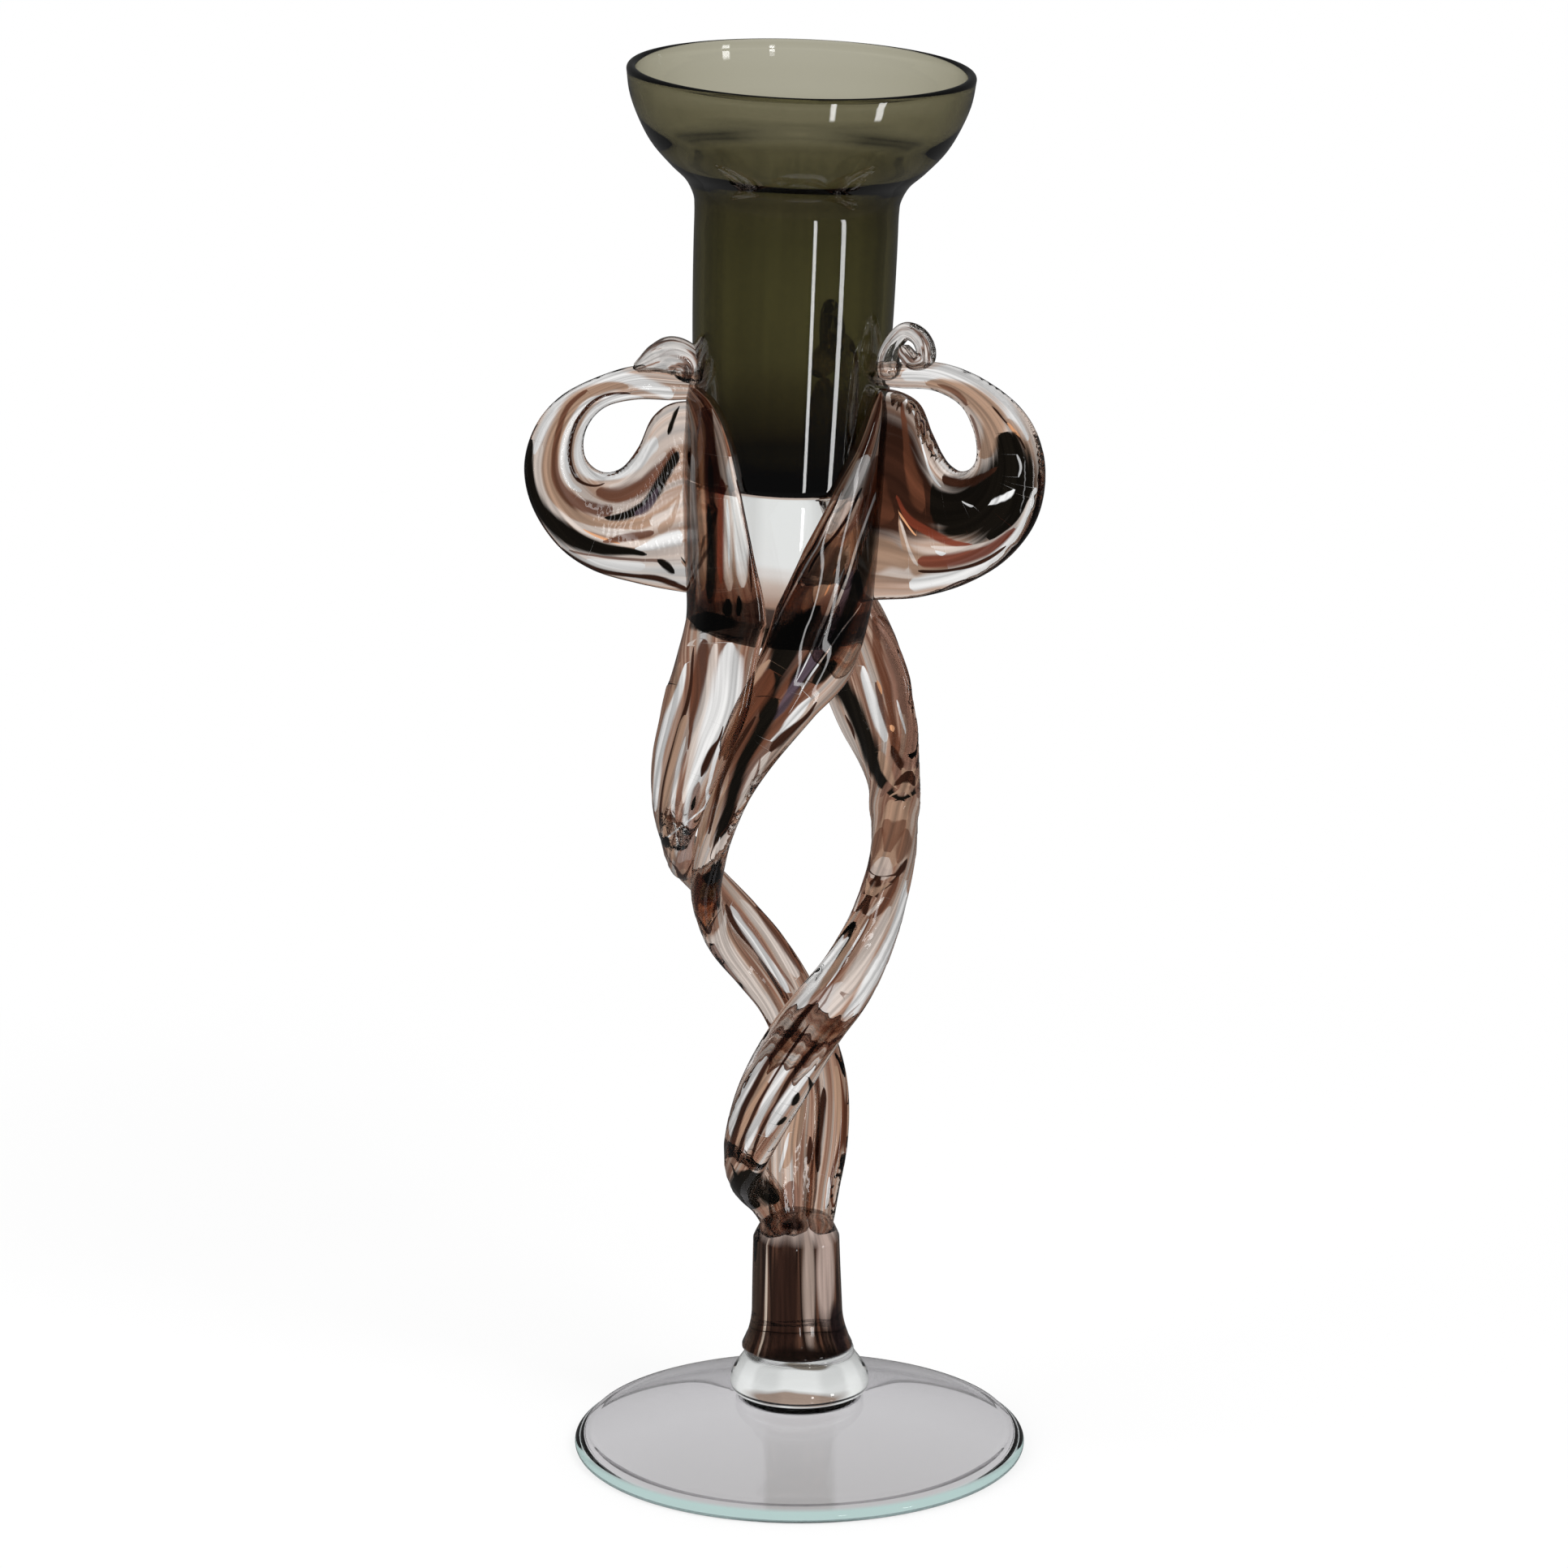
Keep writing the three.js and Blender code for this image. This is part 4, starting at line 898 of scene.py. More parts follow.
def rising(rows):
    """The longest run of rows whose shares rise."""
    best = [[row] for row in rows]
    for i, row in enumerate(rows):
        for j in range(i):
            if row[0] > rows[j][0] + 0.001 and len(best[j]) + 1 > len(best[i]):
                best[i] = best[j] + [row]
    return max(best, key=len)


def picked_streaks(text, piece):
    """Reads a piece's streaks and finds their rows on it."""
    picker = Picker(piece)
    streaks = []
    for line in text.strip().replace("\n  ", " ").splitlines():
        head, mark, body = line.partition("@" if "@" in line else ":")
        kind, strength = head.split()
        points = [tuple(map(float, point.split(","))) for point in body.split()]
        rows = points if mark == "@" else picker.rows(points, kind.endswith("_"))
        streaks.append((kind.rstrip("_"), float(strength), rows))
    return streaks


def streak_at(rows, share):
    """Where a streak lies across the glass and how wide it is, at a share of the way along."""
    index = max(i for i in range(len(rows) - 1) if rows[i][0] <= share)
    first, second = rows[index], rows[index + 1]
    before, after = rows[max(0, index - 1)], rows[min(len(rows) - 1, index + 2)]
    span = second[0] - first[0]
    part = (share - first[0]) / span
    values = []
    for key in (1, 2):
        rise = (second[key] - before[key]) / (second[0] - before[0]) * span
        fall = (after[key] - first[key]) / (after[0] - first[0]) * span
        bent = (rise * (1 - part) ** 2 * part - fall * (1 - part) * part ** 2)
        ease = part * part * (3 - 2 * part)
        values.append(lerp(first[key], second[key], ease) + bent)
    length = rows[-1][0] - rows[0][0]
    end = min(share - rows[0][0], rows[-1][0] - share) / min(0.012, 0.3 * length)
    return values[0], max(values[1], 0.0) * clamp(end) ** 0.5


def meets(rows, others):
    return rows[0][0] < others[-1][0] + STREAK_ROOM and others[0][0] < rows[-1][0] + STREAK_ROOM


def streak_channels(streaks):
    """Streaks of one colour that don't meet share a channel. The order of painting is kept."""
    channels = []
    for kind, strength, rows in streaks:
        place = None
        for channel in reversed(channels):
            if any(meets(rows, other) for _, other in channel[1]):
                break
            if channel[0] == kind:
                place = channel
                break
        if place is None:
            place = (kind, [])
            channels.append(place)
        place[1].append((strength, rows))
    return channels


def paint_streaks(piece, channels):
    """Stores each channel's place across, half width and strength on the points of a piece."""
    mesh = piece.data
    shares = [0.0] * len(mesh.vertices)
    mesh.attributes["share"].data.foreach_get("value", shares)
    for number, (_, streaks) in enumerate(channels):
        known = {}
        flat = []
        for share in shares:
            if share not in known:
                known[share] = (0.0, 0.0, 0.0)
                for strength, rows in streaks:
                    if rows[0][0] < share < rows[-1][0]:
                        known[share] = (*streak_at(rows, share), strength)
            flat.extend(known[share])
        attribute = mesh.attributes.new("streak_%02d" % number, "FLOAT_VECTOR", "POINT")
        attribute.data.foreach_set("vector", flat)


def strand_height(level):
    if level > 2:
        return CUP_LEVEL + (level - 2) * LEAF_HEIGHT
    if level > 1:
        return BASE_LEVEL + (level - 1) * BASE_HEIGHT
    return TWIST_LEVEL + level * TWIST_HEIGHT


def strand_reach(row):
    level, _, reach, _, depth, _ = row
    if level < 1:
        return reach * TWIST_RADIUS
    return body_radius(strand_height(level)) + LEAF_SINK * depth * STRAND_DEPTH


def strand_rail(name, rows, count, coil):
    """The rail of a strand: its middle line, frame, size, and how its flutes turn about it."""
    route = Spline([(row[1], strand_reach(row), strand_height(row[0])) for row in rows])
    shape = Spline([row[3:6] for row in rows])

    def centre(share):
        turn, reach, height = route.at(share)
        return around_middle(turn, reach, height)

    rail = Rail()
    for share in [0.0, 0.004, 0.012, 0.025] + steps(count, 0.04, 0.975) + [0.985, 0.995, 1.0]:
        at = centre(share)
        along = (centre(share + 0.004) - centre(share - 0.004)).normalized()
        out = Vector((at.x - middle_at(at.z), at.y - FOOT_Y, 0)).normalized()
        across = along.cross(out).normalized()
        face = across.cross(along).normalized()
        width, depth, roll = shape.at(share)
        angle = math.radians(roll)
        across, face = (across * math.cos(angle) - face * math.sin(angle),
                        face * math.cos(angle) + across * math.sin(angle))
        reach = route.at(share).y
        wrap = clamp((at.z - BASE_LEVEL) / WRAP_HEIGHT + 1)
        bend = wrap * (across.x ** 2 + across.y ** 2) / reach / MM
        tip = clamp(share / 0.03) ** 0.5 * clamp((1 - share) / 0.012) ** 0.5
        rail.add(at, across, face, max(width, 0.1) * STRAND_WIDTH / 2 * tip, depth * STRAND_DEPTH / 2 * tip,
                 share, bend, coil(share), min(1, width) * min(1, depth) * tip)
    return rail_object(name, rail.points, rail.columns)


def ear_rail(name, ear, count, phase):
    """The rail of an ear: a section that runs round the hole in the plane of one turn."""
    turn = ear["turn"]

    def place(out, up):
        level = LOOP_LEVEL + up * ear["height"]
        return body_radius(level) + out * ear["reach"], level

    outline = Spline([(*place(row[0], row[1]), row[4]) for row in ear["rows"]])
    hole = Spline([(*place(row[2], row[3]), 0) for row in ear["rows"]])
    angle = math.radians(turn)
    sideways = Vector((-math.sin(angle), math.cos(angle), 0))
    rail = Rail()
    for share in [0.0, 0.002, 0.008, 0.018] + steps(count, 0.03, 0.97) + [0.982, 0.992, 0.998, 1.0]:
        outer, inner = outline.at(share), hole.at(share)
        near, far = around_middle(turn, inner.x, inner.y), around_middle(turn, outer.x, outer.y)
        at = (near + far) / 2
        across = far - near
        tip = (clamp(share / 0.02) * clamp((1 - share) / 0.02)) ** 0.5
        rail.add(at, across.normalized(), sideways, across.length / 2 * tip,
                 outer.z * ear["thickness"] / 2 * tip, share, phase=phase + 1.5 * share, flute=tip)
    return rail_object(name, rail.points, rail.columns)


def curl_rail(name, ear, count):
    """The rail of a curl: a rod that folds back over the top of its ear and sticks to the cup."""
    top = LOOP_LEVEL + ear["height"]
    aside = math.radians(ear["turn"] + 90)
    aside = Vector((math.cos(aside), math.sin(aside), 0))
    line = Spline([row[:3] for row in ear["curl"]])
    rods = Spline([(row[3], 0, 0) for row in ear["curl"]])

    def centre(share):
        out, up, drift = line.at(share)
        level = top + up
        return around_middle(ear["turn"], body_radius(level) + out, level) + aside * drift

    rail = Rail()
    for share in [0.0, 0.004, 0.012, 0.025] + steps(count, 0.04, 0.96) + [0.975, 0.988, 0.996, 1.0]:
        at = centre(share)
        along = (centre(min(1, share + 0.01)) - centre(max(0, share - 0.01))).normalized()
        across = along.cross(aside).normalized()
        face = across.cross(along).normalized()
        tip = (clamp(share / 0.05) * clamp((1 - share) / 0.05)) ** 0.5
        half = rods.at(share).x * tip
        rail.add(at, across, face, half, half, share, phase=share * 3, flute=tip)
    return rail_object(name, rail.points, rail.columns)


def arc(centre, radius, start, end, count):
    angles = [math.radians(angle) for angle in steps(count, start, end)]
    return [(centre[0] + radius * math.cos(a), centre[1] + radius * math.sin(a)) for a in angles]


def smooth_profile(pairs, count):
    """More points on a smooth line through radius and height pairs."""
    line = Spline([(r, h, 0) for r, h in pairs])
    return [tuple(line.at(share)[:2]) for share in steps(count, 0, 1)]


def profile_rail(name, pairs, flute=None):
    points = [(radius * MM, 0, height * MM) for radius, height in pairs]
    shares = [flute(height) if flute else 0.0 for _, height in pairs]
    return rail_object(name, points, {"flute": shares})


def collar_side(rows, tube, rim):
    top = RIM_LEVEL - RIM_WALL / 2
    return [(lerp(tube, rim, flare), lerp(COLLAR_LEVEL, top, up)) for up, flare in rows]


def cup_profile():
    lip = RIM_WALL / 2
    lowest = CUP_LEVEL + CUP_EDGE
    neck = COLLAR_LEVEL - 3
    tube = [(body_radius(h), h) for h in steps(12, lowest, neck)]
    bowl = collar_side(COLLAR_OUTSIDE, TUBE_RADIUS, RIM_RADIUS)
    outside = smooth_profile(tube + bowl, 90)
    rim = arc((RIM_RADIUS - lip, RIM_LEVEL - lip), lip, 12, 168, 10)
    inside = collar_side(COLLAR_INSIDE, TUBE_RADIUS - TUBE_WALL, RIM_RADIUS - RIM_WALL)[::-1]
    floor = CUP_LEVEL + CUP_FLOOR
    bore = [(body_radius(h) - TUBE_WALL, h) for h in steps(10, neck, floor + FLOOR_CORNER + 0.4)]
    inner = smooth_profile(inside + bore, 80)
    edge = body_radius(floor) - TUBE_WALL
    corner = arc((edge - FLOOR_CORNER, floor + FLOOR_CORNER), FLOOR_CORNER, 0, -90, 8)[1:]
    low = body_radius(CUP_LEVEL)
    under = arc((low - CUP_EDGE, lowest), CUP_EDGE, -90, 0, 5)[:-1]
    centre_up = [(edge * share, floor) for share in (0.6, 0.3, 0.0)]
    return [(0, CUP_LEVEL), (low * 0.4, CUP_LEVEL), (low * 0.8, CUP_LEVEL), *under, *outside, *rim, *inner,
            *corner, *centre_up]


def base_profile():
    top = CUP_LEVEL - SEAM
    under = BASE_LEVEL - BASE_DROP
    low = under + BASE_EDGE
    edge = arc((body_radius(low) - BASE_EDGE, low), BASE_EDGE, -90, 0, 10)
    side = [(body_radius(h), h) for h in steps(10, low + 1, top - 0.5)]
    lid = body_radius(top)
    return [(0, under), (7, under), (12, under), *edge, *side, (lid - 0.5, top),
            (lid * 0.7, top), (lid * 0.35, top), (0, top)]


def ring_profile():
    foot = FOOT_TOP + SEAM
    top = foot + RING_HEIGHT
    line = [(14.9, foot), (15.6, foot + 0.5), (15.9, foot + 1.5), (15.8, foot + 2.9), (15.2, foot + 4.6),
            (14.2, foot + 6.2), (13.2, foot + 7.6), (12.5, foot + 8.8), (12.4, foot + 9.7), (12.2, top)]
    return [(0, foot), (6, foot), *smooth_profile(line, 36), (11.4, top), (6, top), (0, top)]


def stump_profile():
    top = STUMP_LEVEL + STUMP_HEIGHT
    pairs = []
    for share in steps(60, 0, 1):
        flare = 2.4 * (1 - min(1, share / 0.3)) ** 2 + 0.8 * (1 - share)
        rounding = clamp((1 - share) / 0.17) ** 0.5 * 4.2 + clamp(share / 0.02) ** 0.5 * 0.3 - 4.5
        pairs.append((STUMP_RADIUS + flare + rounding, lerp(STUMP_LEVEL, top, share)))
    return [(0, STUMP_LEVEL), (6, STUMP_LEVEL), *pairs, (3, top), (0, top)]


def foot_profile():
    contact = FOOT_RADIUS - FOOT_EDGE

    def top_at(r):
        share = clamp((FOOT_RADIUS - r) / (FOOT_RADIUS - FOOT_FLAT))
        return 2 * FOOT_EDGE + (FOOT_TOP - 2 * FOOT_EDGE) * share ** FOOT_BULGE

    rounded = arc((contact, FOOT_EDGE), FOOT_EDGE, -70, 72, 14)
    slope = [(r, top_at(r)) for r in steps(30, contact - 1.2, FOOT_FLAT)]
    hollow = [(r, min(FOOT_CEILING, top_at(r) - FOOT_WALL)) for r in steps(30, 3, contact - 1.8)]
    seat = [(contact - 1.4, 0.7), (contact - 1.0, 0.12), (contact - 0.5, 0.0)]
    line = smooth_profile(hollow + seat, 90)
    return [(0, FOOT_CEILING), *line, *rounded, *slope, (9, FOOT_TOP), (4, FOOT_TOP), (0, FOOT_TOP)]


# Materials


def new_material(name):
    """A material with an empty tree, which may be the one that a piece was grown with."""
    material = bpy.data.materials.get(name) or bpy.data.materials.new(name)
    material.use_nodes = True
    material.node_tree.nodes.clear()
    t = Tree(material.node_tree)
    return material, t


def glass_shader(t, colour, ior=1.5, coat=0.0, glow=None):
    shader = t.node("ShaderNodeBsdfPrincipled", {
        "Base Color": colour, "Roughness": 0.0, "IOR": ior, "Transmission Weight": 1.0, "Metallic": 0.0,
        "Coat Weight": coat, "Coat Roughness": 0.0, "Coat IOR": 1.5})
    # A painted glow: the glass gives off light of this colour.
    if glow is not None:
        t.feed(shader.inputs["Emission Color"], glow)
        shader.inputs["Emission Strength"].default_value = 1.0
    output = t.node("ShaderNodeOutputMaterial")
    t.tree.links.new(shader.outputs[0], output.inputs["Surface"])
    return output


def shader_group(name, inputs, outputs):
    tree = bpy.data.node_groups.new(name, "ShaderNodeTree")
    for label, default in inputs:
        socket = tree.interface.new_socket(label, in_out="INPUT", socket_type="NodeSocketFloat")
        socket.default_value = default
    for label in outputs:
        tree.interface.new_socket(label, in_out="OUTPUT", socket_type="NodeSocketFloat")
    t = Tree(tree)
    return tree, t, t.node("NodeGroupInput").outputs, t.node("NodeGroupOutput").inputs


def spotted(t, colour, spots):
    """Soft oval marks on a turned piece: stains, painted highlights and painted refractions, as its table
    gives.
    A spot is level, half height, side, half width, tint, and its levels are millimetres, its sides degrees
    from the front."""
    parts = flow_parts(t)
    place = t.scaled(t.pack(*parts), 0.5)
    wobble = t.noise(place, Detail=0.0)
    wobble = t.times(t.minus(wobble, 0.5), 2.0)
    height = t.plus(t.over(parts[2], MM), wobble)
    angle = azimuth_of(t, parts)
    for level, tall, side, wide, tint in spots:
        up = t.over(t.minus(height, level), tall)
        across = t.over(t.minus(angle, side), wide)
        gap = t.plus(t.times(up, up), t.times(across, across))
        mask = t.ranged(gap, 1.35, 0.55)
        colour = mixed(t, mask, colour, (*tint, 1))
    return colour


def azimuth_of(t, parts):
    """Degrees from the front, to the right of it."""
    return t.times(t.math("ARCTAN2", parts[0], t.times(parts[1], -1.0)), DEGREES)


def flow_parts(t):
    flow = t.node("ShaderNodeAttribute", attribute_name="flow").outputs["Vector"]
    return t.parts(flow)


def wander_of(t, parts, seed, scale):
    """A slow swing across the glass as it runs along."""
    place = t.pack(t.times(parts[0], 0.6), t.times(parts[1], 0.6), t.times(parts[2], scale))
    noise = t.noise(place, seed, Scale=1.0, Detail=1.0)
    return t.minus(noise, 0.5)


def streak_group():
    """Soft streaks and fine lines that run with the flow of the glass."""
    name = "Flow Streaks"
    if name in bpy.data.node_groups:
        return bpy.data.node_groups[name]
    tree, t, given, output = shader_group(
        name, (("Across", 4.0), ("Along", 12.0), ("Warp", 0.3), ("Seed", 0.0)),
        ("Streaks", "Fine", "Lines"))
    parts = flow_parts(t)
    bend = t.times(wander_of(t, parts, given["Seed"], given["Along"]), given["Warp"])
    along = t.times(parts[2], given["Along"])
    x = t.times(t.plus(parts[0], bend), given["Across"])
    y = t.times(parts[1], given["Across"], 0.6)
    place = t.pack(x, y, along)
    for label, scale in (("Streaks", 1.0), ("Fine", 3.3)):
        t.feed(output[label], t.noise(place, given["Seed"], Scale=scale, Detail=2.0, Roughness=0.45))
    thin = t.noise(place, t.plus(given["Seed"], 5.0), Scale=1.4, Detail=0.0)
    gap = t.gap(thin, 0.5)
    lines = t.ranged(gap, 0.03, 0.0)
    t.feed(output["Lines"], lines)
    return tree


def streak_mask():
    """How much of a streak shows at a place across the glass. Its edges are soft and a little ragged."""
    name = "Streak Mask"
    if name in bpy.data.node_groups:
        return bpy.data.node_groups[name]
    tree, t, given, output = shader_group(
        name, (("Place", 0.0), ("Ragged", 0.0), ("Centre", 0.0), ("Width", 0.0), ("Strength", 0.0)),
        ("Mask",))
    gap = t.gap(given["Place"], given["Centre"])
    width = t.math("MAXIMUM", given["Width"], 0.001)
    value = t.minus(t.plus(1.0, given["Ragged"]), t.over(gap, width))
    value = t.node("ShaderNodeMapRange", {0: value, 1: -0.35, 2: 0.35},
                   interpolation_type="SMOOTHSTEP").outputs[0]
    t.feed(output["Mask"], t.times(value, given["Strength"]))
    return tree


def painted(t, colour, channels, seed):
    """Lays a piece's streaks over its colour, one channel after the other."""
    parts = flow_parts(t)
    place = t.plus(parts[0], t.times(wander_of(t, parts, seed, 40.0), 0.1))
    spot = t.pack(t.times(place, 9.0), t.times(parts[1], 4.0), t.times(parts[2], 26.0))
    noise = t.noise(spot, seed, Scale=1.0, Detail=2.0)
    noise = t.times(t.minus(noise, 0.5), 0.9)
    for number, (kind, _) in enumerate(channels):
        streak = t.node("ShaderNodeAttribute", attribute_name="streak_%02d" % number).outputs["Vector"]
        centre, width, strength = t.parts(streak)
        mask = group_node(t, streak_mask(), Place=place, Ragged=noise, Centre=centre, Width=width,
                          Strength=strength)["Mask"]
        colour = mixed(t, mask, colour, (*STREAK_COLOURS[kind], 1))
    return colour


def ramp(t, value, stops, mode="B_SPLINE"):
    node = t.node("ShaderNodeValToRGB", {"Fac": value})
    node.color_ramp.interpolation = mode
    elements = node.color_ramp.elements
    while len(elements) > 1:
        elements.remove(elements[-1])
    elements[0].position, elements[0].color = stops[0][0], (*stops[0][1], 1)
    for position, colour in stops[1:]:
        element = elements.new(position)
        element.color = (*colour, 1)
    return node.outputs[0]


def group_node(t, tree, **values):
    node = t.node("ShaderNodeGroup", node_tree=tree)
    for label, value in values.items():
        t.feed(node.inputs[label], value)
    return node.outputs


def mixed(t, share, first, second, blend="MIX"):
    node = t.node("ShaderNodeMix", data_type="RGBA", blend_type=blend, clamp_factor=True)
    t.feed(node.inputs[0], share)
    t.feed(node.inputs[6], first)
    t.feed(node.inputs[7], second)
    return node.outputs[2]


def dimmed(t, colour, share):
    """The colour times a share between nothing and one."""
    grey = t.node("ShaderNodeCombineColor", {0: share, 1: share, 2: share}).outputs[0]
    return mixed(t, 1.0, colour, grey, "MULTIPLY")


def painted_rim_shade(t, colour, strength):
    """Painted shade: darkens the glass where it is seen along its surface, standing in for the dark rims its
    edges show.
    """
    facing = t.node("ShaderNodeLayerWeight", {"Blend": 0.5}).outputs["Facing"]
    facing = t.times(t.math("POWER", facing, 3.0), strength)
    return mixed(t, facing, colour, (0.03, 0.027, 0.025, 1))


def tinted_once(t, colour):
    """Tints the light only where it enters, so that a piece shows the stains of its near side."""
    leaving = t.node("ShaderNodeNewGeometry").outputs["Backfacing"]
    return mixed(t, leaving, mixed(t, 1.0, colour, colour, "MULTIPLY"), (1, 1, 1, 1))


def painted_leaf_glow(t, colour):
    """A painted glow: the strands give off their own colour as light, more strongly higher up, so that the
    leaves show before the dark tube.
    """
    place = t.place()
    level = t.parts(place)[2]
    share = t.ranged(level, 0.205, 0.235, 0.0, 0.32)
    colour = mixed(t, 1.0, colour, colour, "MULTIPLY")
    return dimmed(t, colour, share)


def streaked_glass(name, seed, stops, channels=(), across=4.0, along=12.0, warp=0.35, fine=0.35, edge=0.45,
                   lines=0.4, coat=0.2, leaf=False, spots=()):
    material, t = new_material(name)
    streaks = group_node(t, streak_group(), Across=across, Along=along, Warp=warp, Seed=seed)
    value = t.plus(t.times(streaks["Streaks"], 1.0 - fine), t.times(streaks["Fine"], fine))
    value = t.ranged(value, 0.3, 0.7)
    colour = ramp(t, value, stops, "EASE")
    colour = mixed(t, t.times(streaks["Lines"], lines), colour, (0.09, 0.05, 0.04, 1))
    colour = spotted(t, painted(t, colour, channels, seed), spots)
    depth = t.ranged(streaks["Fine"], 0.38, 0.62, 0.55, 1.0)
    # painted shade at the rims
    colour = painted_rim_shade(t, dimmed(t, colour, depth), edge)
    # leaf asks for a painted glow on the strands
    glass_shader(t, tinted_once(t, colour), STREAKED_IOR, coat, painted_leaf_glow(t, colour) if leaf else None)
    return material


def height_glass(name, stops, low, high, edge=0.5, streaks=0.0, seed=0.0, tilt=0.0):
    """Glass whose tint changes with height above the table, in millimetres."""
    material, t = new_material(name)
    place = t.place()
    parts = t.parts(place)
    wobble = t.noise(place, seed, Scale=60.0, Detail=3.0)
    level = t.plus(parts[2], t.times(t.minus(wobble, 0.5), streaks * MM))
    level = t.plus(level, t.times(parts[0], tilt))
    share = t.ranged(level, low * MM, high * MM)
    colour = ramp(t, share, [((z - low) / (high - low), tint) for z, tint in stops], "EASE")
    return material, t, painted_rim_shade(t, colour, edge)


def olive_glass(tint, density):
    material, t, colour = height_glass("Olive glass", [
        (228, (0.14, 0.1, 0.065)), (240, (0.28, 0.26, 0.17)), (252, (0.58, 0.57, 0.42)),
        (268, (0.63, 0.63, 0.46)), (284, (0.56, 0.56, 0.41)), (292, (0.72, 0.71, 0.6)),
        (301, (0.98, 0.98, 0.96))], 225, 321, 0.4)
    parts = flow_parts(t)
    place = t.pack(t.times(parts[0], 5.0), t.times(parts[1], 5.0), t.times(parts[2], 4.0))
    upright = t.noise(place, Scale=1.0, Detail=3.0)
    upright = t.ranged(upright, 0.35, 0.65, 0.8, 1.0)
    tube = t.ranged(parts[2], 0.3, 0.292)
    upright = t.plus(t.times(t.minus(upright, 1.0), tube), 1.0)
    # Painted shade: a dark crescent on the back of the collar's bend, taller towards its sides, darkens the
    # colour.
    side = t.math("ABSOLUTE", parts[0])
    gap = t.gap(parts[2], CREASE_SHADE_LEVEL * MM)
    tall = t.plus(t.times(side, 0.0026), 0.0006)
    crease_shade = t.ranged(gap, tall, 0.0)
    ends = t.ranged(side, 0.25, 0.6, 0.4, 0.98)
    behind = t.ranged(parts[1], -0.15, 0.15)
    crease_shade = t.times(crease_shade, ends, behind)
    upright = t.times(upright, t.minus(1.0, crease_shade))
    output = glass_shader(t, dimmed(t, colour, upright))
    volume = t.node("ShaderNodeVolumeAbsorption", {"Color": (*tint, 1), "Density": density})
    t.tree.links.new(volume.outputs[0], output.inputs["Volume"])
    return material


def foot_glass():
    """Pale grey glass that turns green blue at the rim, where the eye looks along the plate."""
    material, t = new_material("Clear foot glass")
    place = t.place()
    out = t.node("ShaderNodeVectorMath", {0: place, 1: (FOOT_X * MM, FOOT_Y * MM, 0)}, operation="SUBTRACT")
    flat = t.node("ShaderNodeVectorMath", {0: out.outputs[0], 1: (1, 1, 0)}, operation="MULTIPLY").outputs[0]
    radius = t.node("ShaderNodeVectorMath", {0: flat}, operation="LENGTH").outputs["Value"]
    cloud = t.noise(place, Scale=14.0, Detail=3.0)
    cloud = t.ranged(cloud, 0.3, 0.7, 0.0, 0.35)
    grey = mixed(t, cloud, (0.69, 0.68, 0.7, 1), (0.62, 0.61, 0.62, 1))
    sides = t.parts(flat)
    # Darker towards the front.
    front = t.ranged(sides[1], -0.012, -0.045, 0.0, 0.5)
    grey = mixed(t, front, grey, (0.47, 0.46, 0.46, 1))
    # A band down the middle of the front, as wide as the stem, is a painted reflection of the stem.
    middle = t.ranged(t.math("ABSOLUTE", sides[0]), 0.0085, 0.007)
    grey = mixed(t, t.times(middle, front, 0.8), grey, (0.38, 0.37, 0.36, 1))
    rim = t.ranged(radius, 0.0502, 0.0511)
    colour = mixed(t, rim, grey, (0.52, 0.68, 0.66, 1))
    glass_shader(t, tinted_once(t, colour))
    return material


def ring_glass(clear):
    """Clear glass with a few dark patches painted at its front, standing in for the dark stem seen through
    it.
    """
    material, t = new_material("Clear ring glass")
    colour = spotted(t, (*clear, 1), RING_PAINTED_REFRACTIONS)
    glass_shader(t, painted_rim_shade(t, colour, 0.8))
    return material


def base_glass():
    # The near black at the bottom of the base, fading through brown to clear, is a painted reflection of the
    # dark cup in its underside.
    material, t, colour = height_glass("Clear base glass", [
        (186, (0.004, 0.003, 0.003)), (197.3, (0.01, 0.006, 0.005)), (198.6, (0.3, 0.17, 0.12)),
        (203, (0.46, 0.33, 0.26)), (206, (0.68, 0.61, 0.57)), (208, (0.83, 0.84, 0.83)),
        (229, (0.83, 0.85, 0.84))], 186, 229, 0.5, streaks=7.0, seed=2.0, tilt=0.17)
    glass_shader(t, colour)
    return material


# A low index keeps the streaks readable through the thick glass, and a coat gives the highlights back
STREAKED_IOR = 1.25

STRAND_STOPS = [
    (0.0, (0.9, 0.87, 0.85)),
    (0.32, (0.72, 0.57, 0.48)),
    (0.48, (0.46, 0.28, 0.2)),
    (0.6, (0.27, 0.13, 0.085)),
    (0.74, (0.55, 0.38, 0.29)),
    (1.0, (0.9, 0.87, 0.85)),
]
EAR_STOPS = [
    (0.0, (0.92, 0.9, 0.88)),
    (0.4, (0.8, 0.67, 0.59)),
    (0.55, (0.52, 0.34, 0.25)),
    (0.68, (0.78, 0.65, 0.57)),
    (1.0, (0.92, 0.9, 0.88)),
]
# Soft oval marks on the turned pieces: level, half height, side, half width, tint
# The ring's marks are painted refractions: the dark stem seen through the ring.
RING_PAINTED_REFRACTIONS = (
    (16.4, 1.9, -4, 46, (0.16, 0.09, 0.06)), (24.4, 1.7, -60, 20, (0.04, 0.04, 0.035)),
    (23.4, 0.8, 8, 28, (0.09, 0.07, 0.05)))
